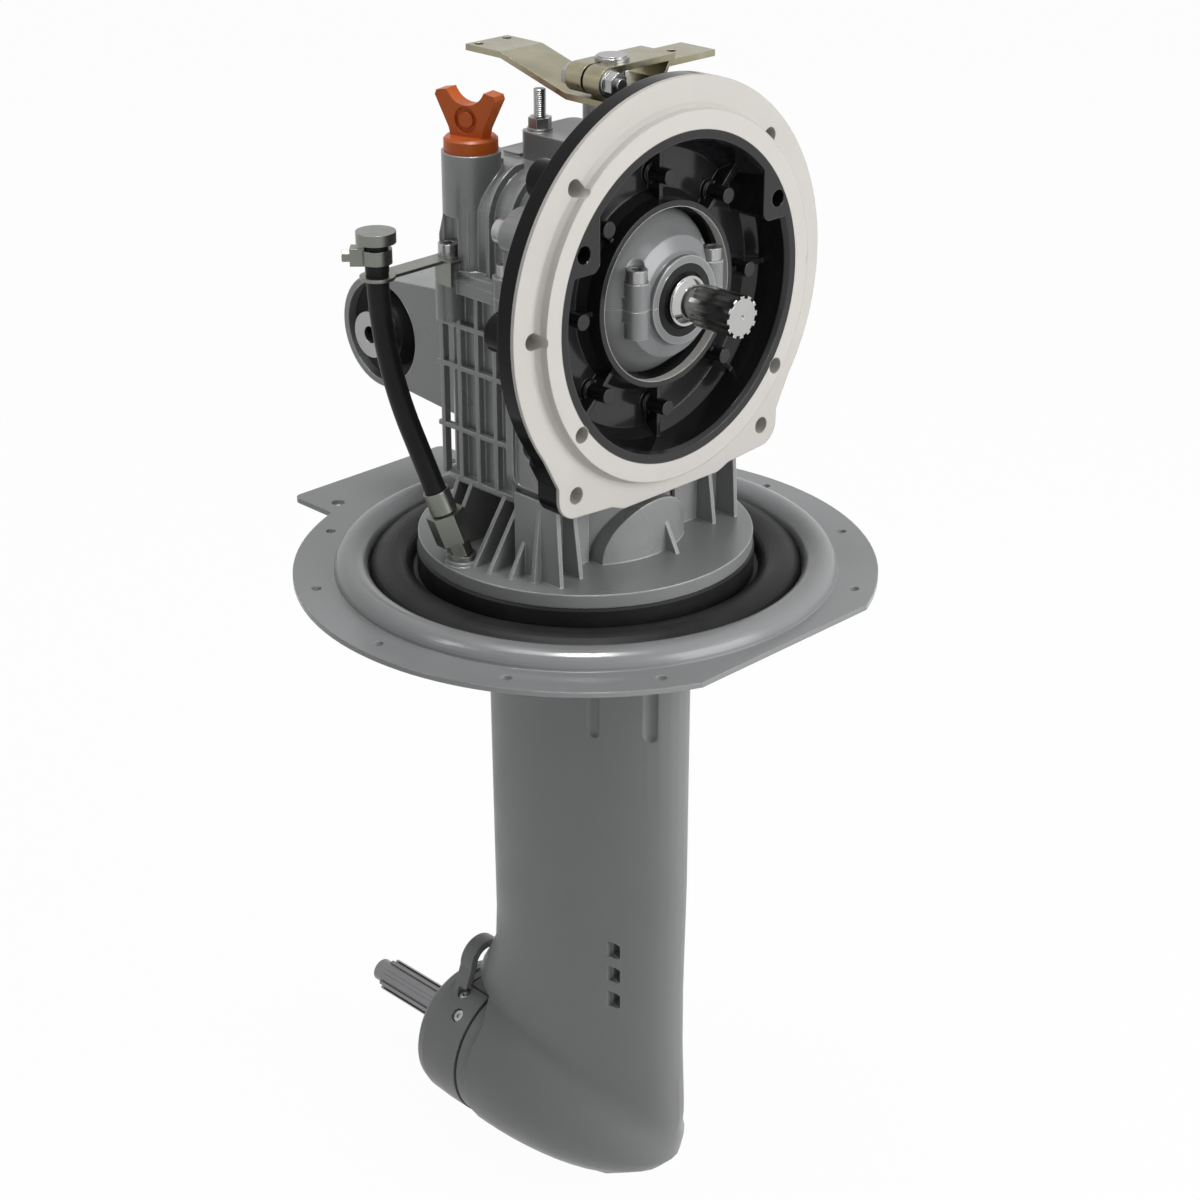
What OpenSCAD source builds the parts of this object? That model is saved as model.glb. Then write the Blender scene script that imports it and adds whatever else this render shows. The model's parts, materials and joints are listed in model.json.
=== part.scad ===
// Saildrive: a gear leg that hangs through a boat's hull, driven by the engine in front of it.
// X runs forward along the engine shaft and Z runs up. The origin is on the vertical drive axis,
// at the top face of the hull ring. The propeller shaft points aft, along -X. Sizes are millimetres.

/* [Drive line] */
// Height of the input shaft above the hull ring
input_h = 201; // [198:1:206]
// Depth of the propeller shaft below the hull ring
prop_d = 436; // [426:1:466]
// Radius of the vertical shaft
shaft_r = 14; // [13:0.5:14.5]
// Outer radius of the input shaft's splines
input_spline_r = 13.2; // [11:0.1:14]
// Distance of the input shaft's end in front of the drive axis
input_end = 134; // [126:1:150]
// Radius of the propeller shaft in its bearings
prop_r = 15; // [14:0.5:16]
// Outer radius of the propeller shaft's splines
prop_spline_r = 13.4; // [12:0.1:14]
// Distance of the propeller shaft's nose behind the drive axis
prop_end = 234; // [226:1:260]

/* [Bevel gears] */
// Tooth size of the upper bevel gears
upper_module = 3.5; // [3.3:0.1:3.6]
// Teeth of the input gear
input_teeth = 20; // [20:4:20]
// Teeth of each idler gear
idler_teeth = 27; // [27:1:27]
// Tooth size of the lower bevel gears
lower_module = 3; // [2.8:0.1:3]
// Teeth of the lower pinion
pinion_teeth = 16; // [16:4:16]
// Teeth of the propeller gear
prop_teeth = 28; // [28:1:28]
// Width of the teeth of the upper gears
upper_face = 17; // [14:1:18]
// Width of the teeth of the lower gears
lower_face = 14; // [12:1:15]
// Travel of the clutch sleeve to each side
clutch_travel = 3; // [2:0.5:3]
// Turn of the shift lever to each side, in degrees
shift_angle = 30; // [20:1:35]

/* [Gear housing] */
// Radius of the round base plate
base_r = 111; // [106:1:116]
// Thickness of the base plate
base_t = 9; // [7:1:12]
// Half width of the housing body
body_half_w = 66; // [64:1:70]
// Distance of the housing's aft wall behind the drive axis
body_aft = 61; // [60:1:64]
// Wall of the housing
wall = 7; // [5:0.5:8]
// Half width of the front block that carries the bell
block_half_w = 84; // [82:1:90]
// Radius of the seal boss round the input shaft
seal_boss_r = 27.8; // [26:0.1:30]
// Thickness of the cast ribs
rib_t = 3; // [2:0.5:4]
// Height of the ribs over the wall
rib_h = 5; // [3:0.5:6]
// Number of upright ribs on each side
rib_count = 5; // [3:1:6]
// Number of fins on each side of the cover
fin_count = 5; // [3:1:5]

/* [Bell housing] */
// Outer radius of the bell's flange
bell_r = 135; // [130:1:140]
// Distance of the flange's machined face in front of the drive axis
bell_face = 77.8; // [76:0.1:80]
// Thickness of the flange
bell_flange_t = 13.8; // [10:0.2:16]
// Outer radius of the centring pilot
pilot_r = 116; // [114:0.5:117]
// Inner radius of the pilot
pilot_bore_r = 104.5; // [102:0.5:106]
// Length of the pilot in front of the flange
pilot_h = 8; // [5:0.5:10]
// Radius of the window in the bell
window_r = 54.7; // [53.5:0.1:56]
// Pitch radius of the flange's bolt holes
bell_hole_pitch = 120; // [120:1:124]
// Radius of the flange's bolt holes
bell_hole_r = 5.25; // [4.5:0.05:6]

/* [Hull ring] */
// Outer radius of the hull ring
ring_r = 194.5; // [190:0.5:200]
// Thickness of the ring's plate
ring_t = 3.5; // [2.5:0.25:5]
// Distance from the ring's bolt holes to its edge
ring_margin = 13.5; // [11:0.5:16]
// Radius of the ring's bolt holes
ring_hole_r = 3.3; // [2.5:0.1:4]
// Distance from the raised bead to the ring's edge
bead_margin = 27; // [25:0.5:29]
// Width of the raised bead
bead_w = 23.1; // [21:0.1:25]
// Height of the raised bead
bead_h = 11.4; // [9:0.2:13]
// Depth of the straight cut at the ring's front
cut_depth = 16; // [10:0.5:19]
// Length of the tab behind the ring's edge
tab_over = 29; // [21:0.5:35]
// Half width of the tab
tab_half_w = 70; // [60:1:80]

/* [Leg] */
// Half length of the leg's section
leg_a = 93; // [90:1:96]
// Half thickness of the leg's section
leg_b = 30.5; // [29:0.5:33]
// Largest radius of the torpedo
torpedo_r = 56.5; // [55:0.5:60]
// Distance of the leg's aft face behind the drive axis
leg_aft = 104; // [102:1:108]
// Distance of the collar's aft face behind the drive axis
collar_aft = 136; // [132:1:142]
// Step from the base flange in to the leg's top flange
leg_flange_step = 4; // [3:1:7]
// Thickness of the leg's top flange
leg_flange_t = 12; // [10:1:14]

/* [Rear mount] */
// Distance of the rubber mount's axis behind the drive axis
mount_x = 171; // [165:1:178]
// Height of the rubber mount's axis
mount_h = 125; // [120:1:130]
// Outer radius of the mount's ring
mount_ring_r = 39.5; // [38:0.5:44]
// Inner radius of the mount's ring
mount_eye_r = 35; // [32:0.5:36]
// Half width of the mount's ring
mount_half_w = 27; // [24:1:32]
// Radius of the steel sleeve
sleeve_r = 16; // [14:0.5:18]
// Radius of the hole in the sleeve
sleeve_bore_r = 6; // [5:0.25:8]
// Half length of the steel sleeve
sleeve_half_l = 37; // [34:1:42]

/* [Shift lever] */
// Distance of the shift shaft in front of the drive axis
lever_x = 24; // [24:1:25]
// Radius of the shift shaft
shift_r = 8; // [7:0.25:8]
// Thickness of the lever plates
plate_t = 4; // [3:0.5:4]
// Length of the aft arm from the shift shaft
arm_len = 112; // [100:1:125]
// Width of the aft arm
arm_w = 36; // [30:1:40]
// Length of the side arm from the shift shaft
side_len = 76; // [70:1:90]
// Width of the side arm
side_w = 29; // [27:1:32]
// Radius of the lever's cable holes
lever_hole_r = 3; // [2:0.25:4]

/* [Dipstick and oil hose] */
// Outer radius of the filler neck
neck_r = 18.6; // [17:0.1:20]
// Length of the dipstick rod
dip_len = 140; // [110:1:150]
// Outer radius of the oil hose
hose_r = 7; // [6:0.25:7.5]
// Wall of the oil hose
hose_wall = 2.5; // [1.5:0.25:3]
// Distance of the hose's upper end beside the drive axis
hose_side = 131; // [126:1:138]

/* [Hidden] */
$fn = 96;

// Running clearance of shafts in their bearings and of screws in their threads
run = 0.05;
// Clearance of screws in plain holes
loose = 0.4;
// Gap between soft or curved pieces and their neighbours
soft_gap = 0.3;

// Levels of the drive
zi = input_h;
zp = -prop_d;
base_z = 16;
base_top = base_z + base_t;
rim_t = 3;
leg_top = base_z - rim_t;
ledge_z = base_top + 42;
block_x0 = 15;
block_x1 = 45;
cover_top = zi + 70;
box_top = zi + 88;
tower_top = zi + 112;
web_z = 48;
bearing_w = 13;
idler_hub_r = 26;
idler_seat_r = 42;
cavity_r = 53;
nose_r = 52;
seal_face = bell_face + 9;

// Radii and distances of the hull ring, and the leg's top flange
ring_pitch = ring_r - ring_margin;
bead_out = ring_r - bead_margin;
bead_in = bead_out - bead_w;
ring_cut = ring_r - cut_depth;
tab_reach = ring_r + tab_over;
leg_flange_r = base_r - leg_flange_step;

// Radii on the vertical shaft
spline_r = shaft_r + 1.5;
bush_r = shaft_r + 3;
rod_r = 5;

// Bevel gear sizes: pitch radii and cone distances
idler_pr = upper_module * idler_teeth / 2;
input_pr = upper_module * input_teeth / 2;
upper_cone = sqrt(pow(idler_pr, 2) + pow(input_pr, 2));
pinion_pr = lower_module * pinion_teeth / 2;
prop_pr = lower_module * prop_teeth / 2;
lower_cone = sqrt(pow(pinion_pr, 2) + pow(prop_pr, 2));
pressure_angle = 20;
backlash = 0.25;
pinion_heel = zp + prop_pr;
pinion_back = pinion_heel + 16;
pinion_tip_r = prop_pr * tan(atan(pinion_teeth / prop_teeth) + atan(lower_module / lower_cone));
prop_heel = -pinion_pr;
prop_back = prop_heel - 13;
prop_bearing_w = 22;

// Colours
cast_grey = [0.42, 0.43, 0.43];
ring_grey = [0.5, 0.51, 0.51];
steel = [0.72, 0.72, 0.72];
dark_steel = [0.45, 0.45, 0.46];
gloss_black = [0.06, 0.06, 0.06];
rubber_black = [0.1, 0.1, 0.1];
orange_plastic = [0.82, 0.35, 0.1];
zinc = [0.62, 0.58, 0.45];
nickel = [0.55, 0.55, 0.49];
bronze = [0.7, 0.52, 0.28];

// Points on a circle
function ring_points(r, n) = [for (i = [0 : n - 1]) r * [cos(i * 360 / n), sin(i * 360 / n)]];

// Outline of a splined shaft; grow widens it on every side for the matching bore
function spline_points(r_out, depth, n, grow = 0) = [
  for (i = [0 : n - 1], c = [[-1, 0], [-1, 1], [1, 1], [1, 0]])
    let (
      r = r_out + grow - (1 - c[1]) * depth,
      half = 84 / n + atan(grow / r_out),
      a = i * 360 / n + c[0] * half
    ) r * [cos(a), sin(a)]
];

// Involute of an angle, in degrees
function inv(a) = tan(a) * 180 / PI - a;

// Half angle of a bevel tooth, seen along its axis, at a height over the pitch cone
function tooth_half(n, cone_a, m, h) =
  let (
    rv = m * n / 2 / cos(cone_a),
    r = max(rv + h, rv * cos(pressure_angle)),
    ah = acos(rv * cos(pressure_angle) / r),
    psi = 90 * cos(cone_a) / n + inv(pressure_angle) - inv(ah) - backlash * 45 / PI / rv
  ) psi * (rv + h) / (m * n / 2 + h * cos(cone_a));

// Radius of that height in the plane of the gear's large end
function tooth_radius(n, cone_a, m, h) =
  let (cone = m * n / 2 / sin(cone_a)) cone * cos(cone_a) * tan(cone_a + atan(h / cone));

flank_heights = [-1.2, -0.65, -0.1, 0.45, 1];
function gear_points(n, cone_a, m, k, phase) = [
  for (i = [0 : n - 1], side = [-1, 1], j = [0 : 4])
    let (
      h = m * flank_heights[side < 0 ? j : 4 - j],
      a = phase + i * 360 / n + side * tooth_half(n, cone_a, m, h),
      r = k * tooth_radius(n, cone_a, m, h)
    ) r * [cos(a), sin(a)]
];

// Straight bevel teeth: the apex is at the origin and the gear lies above it
module bevel_teeth(n, mate, m, face, phase = 0) {
  cone_a = atan(n / mate);
  cone = m * n / 2 / sin(cone_a);
  k = 1 - face / cone;
  heel = cone * cos(cone_a);
  intersection() {
    translate([0, 0, heel * k])
      linear_extrude(height = heel * (1 - k), scale = 1 / k)
        polygon(gear_points(n, cone_a, m, k, phase));
    prism(m * n / 2 + m * cos(cone_a) + 0.7, 0, heel + 1, 72);
  }
}

// Prism with flat sides, for bodies of the gears
module prism(r, z0, z1, n = 40) {
  translate([0, 0, z0]) linear_extrude(z1 - z0) polygon(ring_points(r, n));
}

// Flat sided cone between two radii
module flat_cone(r0, r1, z0, z1, n = 40) {
  translate([0, 0, z0]) linear_extrude(z1 - z0, scale = r1 / r0) polygon(ring_points(r0, n));
}

// Cylinder along X between two stations
module x_cyl(r, x0, x1, y = 0, z = 0) {
  translate([x0, y, z]) rotate([0, 90, 0]) cylinder(r = r, h = x1 - x0);
}

// Cylinder along Y between two stations
module y_cyl(r, y0, y1, x = 0, z = 0) {
  translate([x, y0, z]) rotate([-90, 0, 0]) cylinder(r = r, h = y1 - y0);
}

// Upright cylinder between two levels
module z_cyl(r, z0, z1, x = 0, y = 0) {
  translate([x, y, z0]) cylinder(r = r, h = z1 - z0);
}

// Box between two corners
module block(a, b) {
  translate(a) cube(b - a);
}

// Box with round upright edges
module round_block(a, b, r) {
  translate([0, 0, a[2]]) linear_extrude(b[2] - a[2]) round_rect([a[0], a[1]], [b[0], b[1]], r);
}

// Rectangle with round corners
module round_rect(a, b, r) {
  translate([a[0] + r, a[1]]) square([b[0] - a[0] - 2 * r, b[1] - a[1]]);
  translate([a[0], a[1] + r]) square([b[0] - a[0], b[1] - a[1] - 2 * r]);
  for (x = [a[0] + r, b[0] - r], y = [a[1] + r, b[1] - r]) translate([x, y]) circle(r);
}

// Socket head screw: head above the seat at z = 0, shank below it
module socket_screw(r, shank) {
  head_r = 1.65 * r;
  difference() {
    union() {
      z_cyl(head_r, 0, 2 * r);
      z_cyl(r, -shank, 0);
    }
    translate([0, 0, r]) cylinder(r = 0.9 * r, h = r + 1, $fn = 6);
  }
}

// Hex prism by its width across flats
module hex(af, z0, z1) {
  translate([0, 0, z0]) cylinder(r = af / 2 / cos(30), h = z1 - z0, $fn = 6);
}

// Ball bearing along Z with its lower face at z = 0
module ball_bearing(ri, ro, w, balls = 12) {
  t = (ro - ri) * 0.3;
  mid = (ri + ro) / 2;
  ball = (ro - ri) / 2 - t - run;
  difference() {
    z_cyl(ri + t, 0, w);
    z_cyl(ri + run, -1, w + 1);
  }
  difference() {
    z_cyl(ro, 0, w);
    z_cyl(ro - t, -1, w + 1);
  }
  for (i = [0 : balls - 1]) rotate(i * 360 / balls) translate([mid, 0, w / 2]) sphere(ball);
}

// Shaft seal with its lip, along Z
module lip_seal(ri, ro, w) {
  rotate_extrude()
    polygon([
      [ri + run, w * 0.45], [ri + run, w * 0.7], [ri + 2.2, w * 0.8], [ri + 2.2, w], [ro, w], [ro, 0],
      [ri + 3.2, 0], [ri + 3.2, w * 0.35]
    ]);
}

// Leg and torpedo

// Reach of the leg's leading and trailing edge from the axis, at levels of its height
leg_leading = [
  [-470, 60], [-453, 74], [-434, 86], [-416, 94], [-398, 94], [-350, 91.5], [-290, 91], [-220, 93]
];
leg_trailing = [[-450, 108], [-367, 111], [-348, 99], [-331, 91], [-309, 89.5], [-220, 90.5], [-140, 93]];
leg_sides = 40;
torpedo_mid = -60;
torpedo_fore = 150;
torpedo_aft = 190;
loft_end = 125;
collar_r = 55;

// Levels down the leg: straight ones first, then round the torpedo by angle
leg_levels = concat(
  [leg_top - 2, -220, -305, -331, -348, -360, -371],
  [for (a = [80, 65, 52, 40, 28, 15, 2, -12, -26, -40, -53, -65, -76, -86]) zp + torpedo_r * sin(a)]
);

// Section at a level: the leg's oval and the torpedo's, blended into each other
function leg_section(z) =
  let (
    s = sqrt(max(0, 1 - pow((z - zp) / torpedo_r, 2))),
    lead = lookup(z, leg_leading) * leg_a / 93,
    trail = lookup(z, leg_trailing) * leg_a / 93,
    half_t = z > zp ? leg_b : leg_b * s,
    front = max(lead * (z > zp ? 1 : s), torpedo_mid + torpedo_fore * s),
    back = min(loft_end, max(trail * (z > zp ? 1 : s), torpedo_aft * s - torpedo_mid))
  ) [
    for (i = [0 : leg_sides - 1])
      let (
        a = i * 360 / leg_sides,
        x = (front - back) / 2 + (front + back) / 2 * cos(a),
        reach = x > 0 ? lead : trail,
        fall = x > torpedo_mid ? torpedo_fore : torpedo_aft,
        leg_y = half_t * sqrt(max(0, 1 - pow(x / reach, 2))),
        body_y = torpedo_r * sqrt(max(0, s * s - pow((x - torpedo_mid) / fall, 2)))
      ) [x, sign(sin(a)) * pow(pow(leg_y, 4) + pow(body_y, 4), 0.25), z]
  ];

// Loft of closed sections, from the top one down
module loft(rings) {
  n = len(rings[0]);
  last = len(rings) - 1;
  polyhedron(
    points = [for (r = rings, p = r) p],
    faces = concat(
      [[for (i = [n - 1 : -1 : 0]) i]],
      [
        for (k = [0 : last - 1], i = [0 : n - 1], t = [0, 1])
          let (a = k * n + i, b = k * n + (i + 1) % n)
            t == 0 ? [a, b + n, a + n] : [a, b, b + n]
      ],
      [[for (i = [0 : n - 1]) last * n + i]]
    ),
    convexity = 4
  );
}

// Space behind the leg that the collar fills
lip_x = 73;
module collar_space() {
  rotate([90, 0, 0]) translate([0, 0, -80]) linear_extrude(160)
    polygon([
      [-lip_x, zp - 70], [-lip_x, zp + 44], [-lip_x - 12, zp + 56], [-lip_x - 22, zp + 58],
      [-lip_x - 38, zp + 69],
      [-lip_x - 40, zp + 90], [-180, zp + 90], [-180, zp - 70]
    ]);
}

chamber_r = 46;
inlet_z = [-274, -294, -315];
flutes = [[36, -106], [79, -98]];
leg_bolt_r = 90;
leg_bolt_count = 6;

// Water inlet: a ramped scoop and a hole into the water passage
module inlet(z) {
  x = 56;
  for (side = [-1, 1]) {
    translate([x, side * (leg_b * 0.8 + 2.5), z]) rotate([0, 0, side * 14])
      block([-9, -2.8, -6], [9, 2.8, 6]);
    block([x - 7, min(0, side * leg_b), z - 5], [x + 1, max(0, side * leg_b), z + 5]);
  }
}

// Recessed flute with a round foot in the leg's side
module flute(x, z) {
  for (side = [-1, 1])
    translate([x, side * (leg_b * sqrt(1 - pow(x / leg_a, 2)) + 4), 0]) {
      z_cyl(6.5, z, 0);
      translate([0, 0, z]) sphere(6.5);
    }
}

leg_bore_r = shaft_r + 8;
tab_y = 15;
module leg_housing() {
  color(cast_grey)
    difference() {
      union() {
        difference() {
          union() {
            loft([for (z = leg_levels) leg_section(z)]);
            z_cyl(leg_flange_r, leg_top - leg_flange_t, leg_top);
          }
          collar_space();
        }
        x_cyl(collar_r - 0.7, -lip_x - 12, -lip_x + 8, 0, zp);
        intersection() {
          x_cyl(collar_r - 0.7, -leg_aft - 5, -lip_x, 0, zp);
          block([-leg_aft - 5, -tab_y, zp + 30], [-lip_x, tab_y, zp + 70]);
        }
      }
      z_cyl(leg_bore_r, pinion_back, leg_top + 1);
      z_cyl(leg_bore_r - 2, zp + 40, pinion_back + 1);
      z_cyl(pinion_tip_r + 0.9, zp, pinion_heel + 1);
      x_cyl(chamber_r, -200, -12, 0, zp);
      x_cyl(20 + run, -13, 38, 0, zp);
      block([40, -13, inlet_z[2] - 12], [76, 13, leg_top - leg_flange_t - 8]);
      block([44, -9, leg_top - leg_flange_t - 9], [68, 9, leg_top + 1]);
      for (z = inlet_z) inlet(z);
      for (f = flutes) flute(f[0], f[1]);
      for (i = [0 : leg_bolt_count - 1]) rotate(30 + i * 360 / leg_bolt_count)
        z_cyl(5 + loose, leg_top - leg_flange_t - 1, leg_top + 1, leg_bolt_r);
    }
}

// Collar behind the torpedo: it carries the shaft's bearings and seal
carrier_in = prop_back - 2 - prop_bearing_w;
collar_fore = lip_x + 14.5;
hoop_r = 18;
hoop_z = zp + 68;
hoop_x = [-118, -106];
collar_screw_at = [[-108.5, 25.5], [-101, 43.5]];

// Places of the collar's screws on both sides, with Z pointing out of its surface
module at_collar_screws() {
  for (s = [-1, 1], p = collar_screw_at)
    translate([p[0], 0, zp]) rotate([s * p[1], 0, 0]) children();
}

module propeller_collar() {
  color(cast_grey)
    difference() {
      union() {
        translate([0, 0, zp]) rotate([0, 90, 0])
          rotate_extrude()
            polygon([
              [0, carrier_in], [chamber_r - run, carrier_in], [chamber_r - run, -collar_fore],
              [collar_r, -collar_fore], [collar_r, -leg_aft], [collar_r - 1, -collar_aft + 12],
              [collar_r - 3, -collar_aft + 5], [collar_r - 8, -collar_aft], [0, -collar_aft]
            ]);
        translate([hoop_x[0], 0, 0]) rotate([90, 0, 90]) linear_extrude(hoop_x[1] - hoop_x[0]) {
          translate([0, hoop_z]) circle(hoop_r);
          polygon([[-hoop_r, hoop_z], [hoop_r, hoop_z], [hoop_r + 12, zp + 38], [-hoop_r - 12, zp + 38]]);
        }
      }
      translate([hoop_x[0] - 1, 0, 0]) rotate([90, 0, 90]) linear_extrude(hoop_x[1] - hoop_x[0] + 2) {
        translate([0, hoop_z]) circle(hoop_r - 6);
        polygon([
          [6 - hoop_r, hoop_z], [hoop_r - 6, hoop_z], [tab_y + 3, zp + collar_r - 2],
          [-tab_y - 3, zp + collar_r - 2]
        ]);
      }
      intersection() {
        block([-leg_aft - 7, -tab_y - 2, zp + 30], [-collar_fore + 1, tab_y + 2, zp + 60]);
        difference() {
          x_cyl(collar_r + 3, -leg_aft - 7, -collar_fore + 1, 0, zp);
          x_cyl(chamber_r - run, -leg_aft - 8, -collar_fore + 2, 0, zp);
        }
      }
      x_cyl(prop_r + 1.5, -collar_aft - 1, carrier_in + 1, 0, zp);
      x_cyl(24 + run, -collar_aft - 1, -collar_aft + 36, 0, zp);
      x_cyl(28, -collar_aft + 40, carrier_in - 4, 0, zp);
      at_collar_screws() {
        z_cyl(2.6, collar_r - 12, collar_r);
        z_cyl(5.2, collar_r - 4.5, collar_r + 3);
      }
    }
}

module collar_screws() {
  color(steel)
    at_collar_screws()
      difference() {
        union() {
          z_cyl(2.5, collar_r - 11.5, collar_r - 4.5);
          z_cyl(4.6, collar_r - 4.5, collar_r - 2.5);
        }
        translate([0, 0, collar_r - 3.8]) cylinder(r = 2, h = 3, $fn = 6);
      }
}

prop_gear_seat_r = 17;
module propeller_shaft() {
  color(dark_steel)
    translate([0, 0, zp]) {
      x_cyl(prop_r - 3, -10, 37);
      rotate([0, 90, 0]) translate([0, 0, prop_back - 2])
        linear_extrude(-10 - prop_back + 2) polygon(spline_points(prop_gear_seat_r, 1.5, 10));
      x_cyl(prop_r, -collar_aft - 8, prop_back - 2);
      x_cyl(prop_spline_r - 2.1, -prop_end + 12, -collar_aft - 8);
      rotate([0, 90, 0]) translate([0, 0, -prop_end + 12])
        linear_extrude(prop_end - 12 - collar_aft - 14) polygon(spline_points(prop_spline_r, 1.7, 12));
      difference() {
        x_cyl(9, -prop_end, -prop_end + 12);
        x_cyl(2, -prop_end - 1, -prop_end + 6);
      }
    }
}

module propeller_gear() {
  color(steel)
    translate([0, 0, zp]) rotate([0, -90, 0])
      difference() {
        union() {
          bevel_teeth(prop_teeth, pinion_teeth, lower_module, lower_face, 180 / prop_teeth);
          prism(prop_pr - 7, -prop_heel, -prop_heel + 5);
          prism(24, -prop_heel + 5, -prop_back);
        }
        translate([0, 0, -1])
          linear_extrude(80) polygon(spline_points(prop_gear_seat_r, 1.5, 10, 0.04));
      }
}

module propeller_bearings() {
  color(steel) translate([0, 0, zp]) {
    translate([prop_back - 2 - prop_bearing_w, 0, 0]) rotate([0, 90, 0])
      ball_bearing(prop_r, chamber_r - run, prop_bearing_w, 10);
    translate([-collar_aft + 18, 0, 0]) rotate([0, 90, 0]) ball_bearing(prop_r, 24, 18, 14);
    translate([20, 0, 0]) rotate([0, 90, 0]) ball_bearing(prop_r - 3, 20, 18, 12);
  }
}

module propeller_seal() {
  color(rubber_black) translate([-collar_aft + 3, 0, zp]) rotate([0, 90, 0]) lip_seal(prop_r, 24, 9);
}

module lower_pinion() {
  color(steel)
    difference() {
      translate([0, 0, zp]) union() {
        bevel_teeth(pinion_teeth, prop_teeth, lower_module, lower_face);
        prism(19, prop_pr, prop_pr + 16, 36);
      }
      translate([0, 0, zp + 10])
        linear_extrude(60) polygon(spline_points(shaft_r - 2, 1.2, 10, 0.04));
    }
}

coupling_z = 2;
module lower_shaft() {
  color(steel) {
    translate([0, 0, pinion_heel - 10])
      linear_extrude(pinion_back - pinion_heel + 10) polygon(spline_points(shaft_r - 2, 1.2, 10));
    z_cyl(shaft_r - 1, pinion_back, coupling_z - 14);
    translate([0, 0, coupling_z - 14]) linear_extrude(14) polygon(spline_points(shaft_r - 1.5, 1.2, 10));
  }
}

module leg_bearings() {
  color(steel) {
    translate([0, 0, pinion_back]) ball_bearing(shaft_r - 1, leg_bore_r - run, 26, 12);
    translate([0, 0, base_top + 2]) ball_bearing(shaft_r, 29, bearing_w, 10);
  }
}

module shaft_coupling() {
  color(dark_steel)
    difference() {
      prism(shaft_r + 6, coupling_z - 12, coupling_z + 14, 36);
      translate([0, 0, coupling_z - 13])
        linear_extrude(13) polygon(spline_points(shaft_r - 1.5, 1.2, 10, 0.04));
      translate([0, 0, coupling_z])
        linear_extrude(15) polygon(spline_points(shaft_r - 1.5, 1.2, 10, 0.04));
    }
}

// Vertical shaft in the gear housing, hollow above for the shift rod
sleeve_half = 22;
pin_r = 3;
shaft_top = zi + 61;
module upper_shaft() {
  color(steel)
    difference() {
      union() {
        translate([0, 0, coupling_z]) linear_extrude(14) polygon(spline_points(shaft_r - 1.5, 1.2, 10));
        z_cyl(shaft_r, coupling_z + 14, shaft_top);
        translate([0, 0, zi - 34]) linear_extrude(68) polygon(spline_points(spline_r, 1.8, 10));
      }
      z_cyl(rod_r + 0.1, zi - 12, shaft_top + 1);
      for (s = [-1, 1])
        block([-pin_r - 0.1, min(0, s * 20), zi - pin_r - clutch_travel - 0.3],
              [pin_r + 0.1, max(0, s * 20), zi + pin_r + clutch_travel + 0.3]);
    }
}

// Idler gear with the female cone of the clutch; the apex of its teeth is at the origin
cup_r = 29.2;
cup_slope = 0.14;
cone_gap = clutch_travel * cup_slope + 0.12;
idler_toe = input_pr * (1 - upper_face / upper_cone);
cup_end = input_pr + 1;
module idler_gear() {
  difference() {
    union() {
      bevel_teeth(idler_teeth, input_teeth, upper_module, upper_face);
      prism(idler_pr - 6.5, input_pr, input_pr + 8, 54);
      prism(idler_hub_r, input_pr + 8, web_z + bearing_w, 40);
    }
    flat_cone(cup_r, cup_r - cup_slope * (cup_end - idler_toe), idler_toe, cup_end, 40);
    prism(cup_r, idler_toe - 2, idler_toe, 40);
    prism(bush_r + run, idler_toe - 3, web_z + bearing_w + 1, 42);
  }
}

module upper_idler_gear() {
  color(steel) translate([0, 0, zi]) idler_gear();
}

module lower_idler_gear() {
  color(steel) translate([0, 0, zi]) rotate([180, 0, 0]) idler_gear();
}

module gear_bush() {
  difference() {
    prism(bush_r, input_pr + 1.5, web_z + bearing_w, 40);
    z_cyl(shaft_r + run, 0, 100);
  }
}

module upper_gear_bush() {
  color(bronze) translate([0, 0, zi]) gear_bush();
}

module lower_gear_bush() {
  color(bronze) translate([0, 0, zi]) rotate([180, 0, 0]) gear_bush();
}

module idler_bearings() {
  color(steel) for (s = [0, 180])
    translate([0, 0, zi]) rotate([s, 0, 0])
      translate([0, 0, web_z]) ball_bearing(idler_hub_r, idler_seat_r, bearing_w, 14);
}

module clutch_sleeve() {
  r = cup_r - cone_gap;
  tip = input_pr - clutch_travel - 0.5;
  color(bronze) translate([0, 0, zi])
    difference() {
      union() {
        prism(r, -idler_toe, idler_toe, 40);
        for (s = [0, 180]) rotate([s, 0, 0])
          flat_cone(r, r - cup_slope * (tip - idler_toe), idler_toe, tip, 40);
      }
      translate([0, 0, -50]) linear_extrude(100) polygon(spline_points(spline_r, 1.3, 10, 0.05));
      y_cyl(pin_r + 0.04, -40, 40);
    }
}

// Pull rod with its cross pin and the grooved head that the fork holds
fork_z = zi + 73;
fork_t = 5.6;
fork_play = 0.2;
module shift_rod() {
  color(dark_steel) {
    z_cyl(rod_r, zi - 8, fork_z + 6.2);
    z_cyl(rod_r + 3, fork_z - fork_t / 2 - fork_play - 3, fork_z - fork_t / 2 - fork_play);
    z_cyl(rod_r + 3, fork_z + fork_t / 2 + fork_play, fork_z + 6.2);
    y_cyl(pin_r, 3 - cup_r, cup_r - 3, 0, zi);
  }
}

cam_r = 12;
cam_pin_r = 2.5;
guide_x = -18;
guide_r = 4;
module shift_fork() {
  color(bronze)
    difference() {
      union() {
        round_block([guide_x - 8, -9, fork_z - fork_t / 2], [9, 9, fork_z + fork_t / 2], 3);
        x_cyl(cam_pin_r, 8, lever_x - cam_r + 3, 0, fork_z);
      }
      z_cyl(guide_r + run, fork_z - 10, fork_z + 10, guide_x);
      z_cyl(rod_r + 0.2, fork_z - 10, fork_z + 10);
      block([-rod_r - 0.2, -12, fork_z - 10], [rod_r + 0.2, 0, fork_z + 10]);
    }
}

module fork_guide() {
  color(steel) z_cyl(guide_r, zi + 63, box_top - 2, guide_x);
}

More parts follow.
